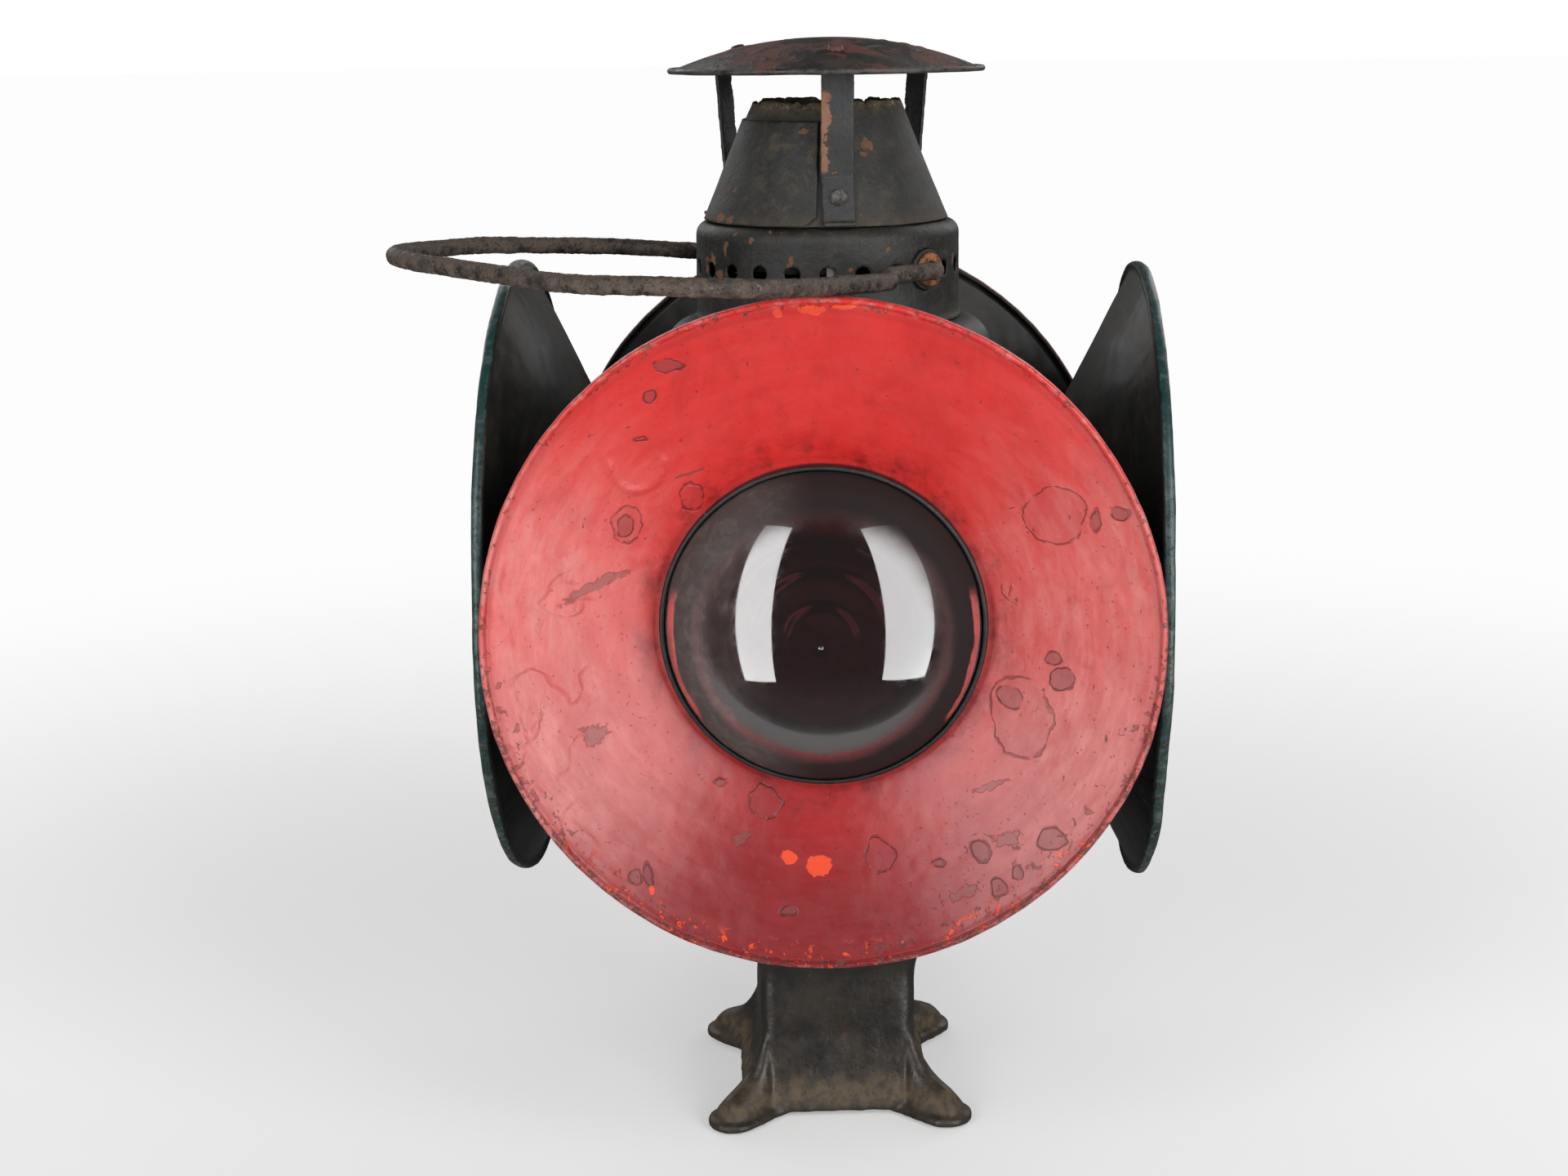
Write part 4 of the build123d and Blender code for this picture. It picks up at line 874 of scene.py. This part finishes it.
# --- re-skinned pieces
BASE_TURN = 4.9                 # the casting sits turned by this much, in degrees
TUBE_HALF, TUBE_CORNER, TUBE_WALL, TUBE_FOOT = 31.25, 6, 4, 2.4
FLARE_START, FLANGE_LOW, FLANGE_TOP, FLANGE_RADIUS = 55, 76, 80, 60
FLARE_RISE, FLARE_GROW = 20.5, 13
TOE_LIP_LOW, TOE_LIP_TOP, TOE_LIP_HALF = 0.3, 3.9, 10.6
TOE_ROOT, TOE_LIP_START, TOE_LIP_END = 36, 50, 60
SKIRT = (                       # height and growth past the tube of the swelling at the tube's foot
    (2, 7.6), (4, 7.5), (6.5, 6.6), (10, 4.9), (14, 3.3), (19, 1.8), (25, 0.6), (31, 0),
    (31, -2), (2, -2),
)
TOE_CREST = (                   # reach, height and half width of a toe's ridge from the tube out
    (38.5, 39, 1.5), (41, 35, 3), (42.6, 31, 4.6), (44.2, 27, 6), (46.5, 22.8, 7.2),
    (49.8, 18.8, 8), (54, 15.6, 8.4), (59, 13.4, 8.2), (63.5, 11, 7.6), (66.5, 8, 6.4),
    (68.2, 4.6, 4.4),
)
TOE_SLOPE = ((1.34, -0.2), (1.26, 0.06), (1.08, 0.26), (0.88, 0.52), (0.65, 0.78), (0.35, 0.95), (0, 1))


def rounded_square(half, corner, z):
    """Points round a level square with rounded corners, in mm."""
    points = []
    for quarter in range(4):
        x = (half - corner) * (1 if quarter in (0, 3) else -1)
        y = (half - corner) * (1 if quarter in (0, 1) else -1)
        points += arc((x, y), corner, corner, 90 * quarter, 90 * quarter + 90, 6)
    return [(x, y, z) for x, y in points]


def stack(points, faces, rings, close=True):
    """Adds a solid skin through rings of (x, y, z) points; close joins the last ring to the first."""
    first, size = len(points), len(rings[0])
    last = first + (len(rings) - 1) * size
    for ring in rings:
        points += ring
    starts = list(range(first, last + 1, size)) + ([first] if close else [])
    for low, high in zip(starts, starts[1:]):
        for k in range(size):
            n = (k + 1) % size
            faces.append((low + k, low + n, high + n, high + k))
    if not close:
        faces.append(tuple(range(first + size - 1, first - 1, -1)))
        faces.append(tuple(range(last, last + size)))


def toe(points, faces, turn):
    """Adds one toe: a humped ridge on a flat lip with a round end."""
    along = Vector((cos(turn), sin(turn), 0))
    across = Vector((-along.y, along.x, 0))

    def spot(reach, side, z):
        point = along * reach + across * side
        return point.x, point.y, z

    left = [(-side, high) for side, high in TOE_SLOPE]
    section = left + [(-side, high) for side, high in reversed(left[:-1])]
    ridge = [
        [spot(reach, half * side, max(0.6, height * high)) for side, high in section]
        for reach, height, half in TOE_CREST
    ]
    stack(points, faces, ridge, close=False)
    lip = run((TOE_LIP_START, TOE_LIP_HALF), (TOE_LIP_END, TOE_LIP_HALF), 3.4)
    lip.append((TOE_LIP_END, TOE_LIP_HALF))
    end = arc((60.3, 0), TOE_LIP_HALF, TOE_LIP_HALF, 75, -75, 10)
    back = [(reach, -side) for reach, side in reversed(lip)]
    outline = [(TOE_ROOT, TOE_LIP_HALF)] + lip + end + back + [(TOE_ROOT, -TOE_LIP_HALF)]
    rings = [[spot(reach, side, z) for reach, side in reversed(outline)] for z in (TOE_LIP_LOW, TOE_LIP_TOP)]
    stack(points, faces, rings, close=False)


def base_shell():
    """The casting's solids, in its own square frame: tube and flare, skirt, flange, toes."""
    points, faces = [], []
    levels = [(TUBE_FOOT, 0), (30, 0), (FLARE_START, 0)]
    for degrees in range(10, 91, 10):
        turn = radians(degrees)
        levels.append((FLARE_START + FLARE_RISE * sin(turn), FLARE_GROW * (1 - cos(turn))))
    rings = [rounded_square(TUBE_HALF + grow, TUBE_CORNER + grow, z) for z, grow in levels]
    rings += [rounded_square(TUBE_HALF - TUBE_WALL, 3, z) for z in (FLANGE_LOW, TUBE_FOOT)]
    stack(points, faces, rings)
    rings = [rounded_square(TUBE_HALF + grow, TUBE_CORNER + max(grow, -1), z) for z, grow in SKIRT]
    stack(points, faces, rings)
    circle = arc((0, 0), FLANGE_RADIUS, FLANGE_RADIUS, 0, 354, 59)
    stack(points, faces, [[(x, y, z) for x, y in circle] for z in (FLANGE_LOW, FLANGE_TOP)], close=False)
    for quarter in range(4):
        toe(points, faces, radians(45 + 90 * quarter))
    turn = Matrix.Rotation(radians(BASE_TURN), 3, "Z")
    return [tuple(turn @ Vector(p)) for p in points], faces


mesh = reskin("cast_base", mesh_from("cast_base", *base_shell()), 0.9, 14)
roughen(mesh, ((0.4, 30, 3), (0.1, 6, 3)), lambda x, y, z: (x, y, max(z, 0)))
finish_piece("cast_base", mesh, "lamp_body", "cast_iron", CAST, "base_socket")
recast("neck_band", "vent_band", 0.6, 2, BAND_BLACK, ((0.28, 34, 2), (0.05, 4, 2)))


def ragged_top(x, y, z):
    """The chimney's top edge is eaten away unevenly."""
    if z < 396.5:
        return x, y, z
    bite = max(0, fine(x, y, 0, 5.5, 4, 3)) * 2.2 + max(0, fine(x, y, 0, 16, 2, 5)) * 1.6
    share = smooth_step(396.5, 402.6, z)
    flake = 0.35 * fine(x, y, z, 1.8, 2, 9) * share
    radial = hypot(x, y)
    return x + flake * x / radial, y + flake * y / radial, z - bite * share


recast("chimney_cone", "chimney", 0.6, 2, CHIMNEY_BLACK, ((0.35, 30, 2), (0.05, 4, 2)), ragged_top)


def bail_sag(x, y, z):
    """The leg on the front side hangs a little."""
    return x, y, z - 1.6 * smooth_step(-45, -85, x) * smooth_step(-5, -40, y)


recast("bail_handle", "carrying_bail", 0.45, 12, WIRE, ((0.2, 9, 2), (0.2, 1.7, 3)), bail_sag)
recast("bail_eyelets", "grommets", 0.3, 4, EYELET, ((0.12, 2, 3),))
recast("bail_washers", "grommet_washers", 0.35, 2, LAMP_BLACK, ((0.08, 3, 3),))
recast("strap_rivets", "strap_rivet_heads", 0.25, 5, RIVET, ((0.1, 2, 3),))
recast("cap_rivets", "cap_rivet_heads", 0.25, 5, CAP, ((0.1, 2, 3),))


def strap_edges(centre_angle, left_bite, right_bite):
    """Eats a strap's long edges unevenly, by about the bites in mm."""
    across = outward(centre_angle + 90)

    def shape(x, y, z):
        side = x * across.x + y * across.y
        edge = smooth_step(3.6, 6, abs(side)) * (1 if side > 0 else -1)
        eaten = (right_bite if edge > 0 else left_bite) * fine(side, 0, z, 3.2, 4, centre_angle)
        shift = -edge * max(0, eaten)
        return x + across.x * shift, y + across.y * shift, z

    return shape


STRAPS = (                      # side, degrees round from the front, paint, roughness, left and right bites
    ("front", 0, FRONT_STRAP_BLACK, (0.06, 8, 3), 0.25, 0.25),
    ("left", -120, STRAP_BLACK, (0.1, 6, 3), 1.5, 0.35),
    ("right", 120, STRAP_BLACK, (0.1, 6, 3), 0.35, 1.5),
)
for side, turn, paint, rough, left_bite, right_bite in STRAPS:
    edges = strap_edges(STRAP_TURN + turn, left_bite, right_bite)
    recast(f"strap_{side}", f"cap_strap_{side}", 0.42, 2, paint, (rough,), edges)

# --- rain cap
CAP_CROWN, CAP_RIM, CAP_RIM_HEIGHT = 425, 58.9, 413.1
CAP_RISE = CAP_CROWN - CAP_RIM_HEIGHT
CAP_SPHERE = (CAP_RIM**2 + CAP_RISE**2) / (2 * CAP_RISE)


def cap_height(radius, depth=0):
    return CAP_CROWN - CAP_SPHERE + sqrt((CAP_SPHERE - depth) ** 2 - radius**2)


def cap_place(turn, radius, along):
    x, y = radius * cos(turn), radius * sin(turn)
    dent = 0.28 * lump(x, y, 0, 26, 2.2) + 0.12 * lump(x, y, 0, 8, 6)
    welted = smooth_step(14, 20, radius) * smooth_step(46, 38, radius)
    welt = 0.55 * smooth_step(0.25, 0.55, lump(x, y, 0, 9, 12.5)) * welted
    rim = smooth_step(50, 59, radius) * 0.35 * lump(x, y, 0, 14, 8.8)
    stretch = 1 + rim / 60
    on_top = along > cap_height(min(radius, 58), 0.5)
    return x * stretch, y * stretch, along + dent * 0.6 + (welt if on_top else 0)


crown = [(radius, cap_height(radius)) for radius in np.linspace(0.02, 57.2, 66)]
hem = arc((CAP_RIM, CAP_RIM_HEIGHT), 1.1, 1.1, 115, -150, 12)
under = [(radius, cap_height(radius, 1)) for radius in np.linspace(57, 0.02, 40)]
points, faces = turned_points(crown + hem + under, 300, cap_place)
piece_from("rain_hood", points, faces, "chimney_lid", "cap_paint", CAP, "rain_cap")

# --- cone wrap
CONE_FOOT, CONE_FOOT_HEIGHT = 46.3, 357.4
CONE_MOUTH, CONE_TOP_HEIGHT = 27.8, 402.6
CONE_SLOPE = (CONE_FOOT - CONE_MOUTH) / (CONE_TOP_HEIGHT - CONE_FOOT_HEIGHT)
WRAP_START, WRAP_ARC, WRAP_LOW, WRAP_HIGH = -158.5, 155, 357.8, 395
WRAP_COLUMNS, WRAP_ROWS = 150, 40


def wrap_skin(share, height, lift):
    """A point on the wrap plate: share runs round it, height is in mm, lift is off the cone."""
    end = smooth_step(0, 0.05, 1 - share)
    corner = 1 - smooth_step(0, 0.06, 1 - share)
    low = WRAP_LOW + corner * 3.2 * (1 - smooth_step(0, 0.045, 1 - share))
    level = low + (height - WRAP_LOW) / (WRAP_HIGH - WRAP_LOW) * (WRAP_HIGH - low)
    angle = WRAP_START + WRAP_ARC * share
    bow = 0.28 * (0.5 + 0.5 * lump(share * 90, level, 0, 22, 4.4)) * (1 - 0.4 * end)
    radius = CONE_FOOT - (level - CONE_FOOT_HEIGHT) * CONE_SLOPE + lift + bow
    direction = outward(angle)
    return direction.x * radius, direction.y * radius, level + 0.35 * lump(share * 60, 0, level, 12, 7)


def wrap_plate():
    """The inner and outer skins of the plate, then a strip of faces round its border."""
    columns, rows = WRAP_COLUMNS, WRAP_ROWS
    heights = [WRAP_LOW + (WRAP_HIGH - WRAP_LOW) * k / rows for k in range(rows + 1)]
    shares = [i / columns for i in range(columns + 1)]
    layers = [(lift, share) for lift in (0.15, 1.05) for share in shares]
    points = [wrap_skin(share, height, lift) for lift, share in layers for height in heights]
    faces = []
    layer = (columns + 1) * (rows + 1)

    def spot(i, k, top):
        return top * layer + i * (rows + 1) + k

    for i in range(columns):
        for k in range(rows):
            faces.append((spot(i, k, 1), spot(i + 1, k, 1), spot(i + 1, k + 1, 1), spot(i, k + 1, 1)))
            faces.append((spot(i, k, 0), spot(i, k + 1, 0), spot(i + 1, k + 1, 0), spot(i + 1, k, 0)))
    border = [(i, 0) for i in range(columns)] + [(columns, k) for k in range(rows)]
    border += [(i, rows) for i in range(columns, 0, -1)] + [(0, k) for k in range(rows, 0, -1)]
    for (i, k), (m, n) in zip(border, border[1:] + border[:1]):
        faces.append((spot(i, k, 0), spot(m, n, 0), spot(m, n, 1), spot(i, k, 1)))
    return points, faces


plate = piece_from("wrap_plate", *wrap_plate(), "chimney_lid", "chimney_paint", WRAP_BLACK, "cone_wrap")
for face in plate.data.polygons[-2 * (WRAP_COLUMNS + WRAP_ROWS):]:
    face.use_smooth = False

# --- floor, lights, camera
def pale_floor():
    """White paper, lit near the lamp and glowing further off, so that it has no visible end."""
    s = Surface("pale_paper", 0.7)
    x, y, _ = s.split()
    far = s.step(s.reach(x, y), 0.25, 1.1)
    paper = s.mix(s.noise(180, 3), (0.8, 0.8, 0.8), (0.84, 0.84, 0.84))
    s.colour = s.mix(far, paper, (0, 0, 0))
    s.feed("Emission Color", (1, 1, 1))
    s.feed("Emission Strength", s.between(far, 0.3, 0.98))
    s.feed("Specular IOR Level", 0)
    return s.finish(None, s.noise(2, 3), 0.05)


def studio_floor():
    """A round pale floor that runs out to the horizon, just under the lamp's foot."""
    radii = [0, 100, 300, 600, 1000, 2000, 4000, 9000, 30000]
    steps, size = 96, len(radii)
    turns = [2 * pi * i / steps for i in range(steps)]
    points = [(r * cos(turn), r * sin(turn), -0.4) for turn in turns for r in radii]
    faces = []
    for i in range(steps):
        here, there = i * size, (i + 1) % steps * size
        faces += [(here + k, there + k, there + k + 1, here + k + 1) for k in range(size - 1)]
    mesh = mesh_from("studio_floor", points, faces)
    mesh.materials.append(pale_floor())
    floor = into_scene("studio_floor", mesh)
    floor.visible_glossy = False


def soft_light(name, azimuth, elevation, distance, width, height, power):
    """A rectangular soft box aimed at the lamp; azimuth is a compass angle from the front."""
    data = bpy.data.lights.new(name, "AREA")
    data.shape = "RECTANGLE"
    data.size, data.size_y = width, height
    data.energy = power
    lamp = into_scene(name, data)
    rise = radians(elevation)
    aim = Vector((0, 0, 0.2))
    lamp.location = aim + (outward(azimuth) * cos(rise) + Vector((0, 0, sin(rise)))) * distance
    lamp.rotation_euler = (aim - lamp.location).to_track_quat("-Z", "Y").to_euler()
    lamp.visible_camera = False


studio_floor()
soft_light("left_box", -33, 8, 1.5, 0.5, 2.4, 19)
soft_light("right_box", 42, 8, 1.5, 0.78, 2.4, 26)
soft_light("back_left", -140, 30, 1.8, 1.2, 1.2, 7)
soft_light("back_right", 140, 30, 1.8, 1.2, 1.2, 7)


def studio_world():
    """A dim room, lighter below the horizon, white where the camera looks straight at it."""
    world = bpy.data.worlds.new("studio")
    bpy.context.scene.world = world
    world.use_nodes = True
    tree = world.node_tree
    add, link = tree.nodes.new, tree.links.new
    room = tree.nodes["Background"]
    room.inputs["Color"].default_value = (1, 1, 1, 1)
    height = add("ShaderNodeSeparateXYZ")
    link(add("ShaderNodeTexCoord").outputs["Generated"], height.inputs[0])
    level = add("ShaderNodeMapRange")
    link(height.outputs["Z"], level.inputs["Value"])
    for socket, value in (("From Min", -0.56), ("From Max", -0.5), ("To Min", 0.11), ("To Max", 0.09)):
        level.inputs[socket].default_value = value
    link(level.outputs["Result"], room.inputs["Strength"])
    white = add("ShaderNodeBackground")
    white.inputs["Color"].default_value = (1, 1, 1, 1)
    pick = add("ShaderNodeMixShader")
    link(add("ShaderNodeLightPath").outputs["Is Camera Ray"], pick.inputs[0])
    link(room.outputs[0], pick.inputs[1])
    link(white.outputs[0], pick.inputs[2])
    link(pick.outputs[0], tree.nodes["World Output"].inputs["Surface"])


studio_world()

CAMERA_PLACE = (0.02455, -0.8818, 0.4272)
YAW, PITCH, ROLL = radians(2.79), radians(13.76), radians(-0.74)
camera = bpy.data.cameras.new("camera")
camera.sensor_width = 36
camera.lens = 52.2
camera.clip_start = 0.01
viewer = into_scene("camera", camera)
bpy.context.scene.camera = viewer
sight = Vector((-sin(YAW) * cos(PITCH), cos(YAW) * cos(PITCH), -sin(PITCH)))
facing = sight.to_track_quat("-Z", "Y").to_matrix().to_4x4()
viewer.matrix_world = Matrix.Translation(CAMERA_PLACE) @ facing @ Matrix.Rotation(ROLL, 4, "Z")
bpy.context.scene.view_settings.view_transform = "Standard"
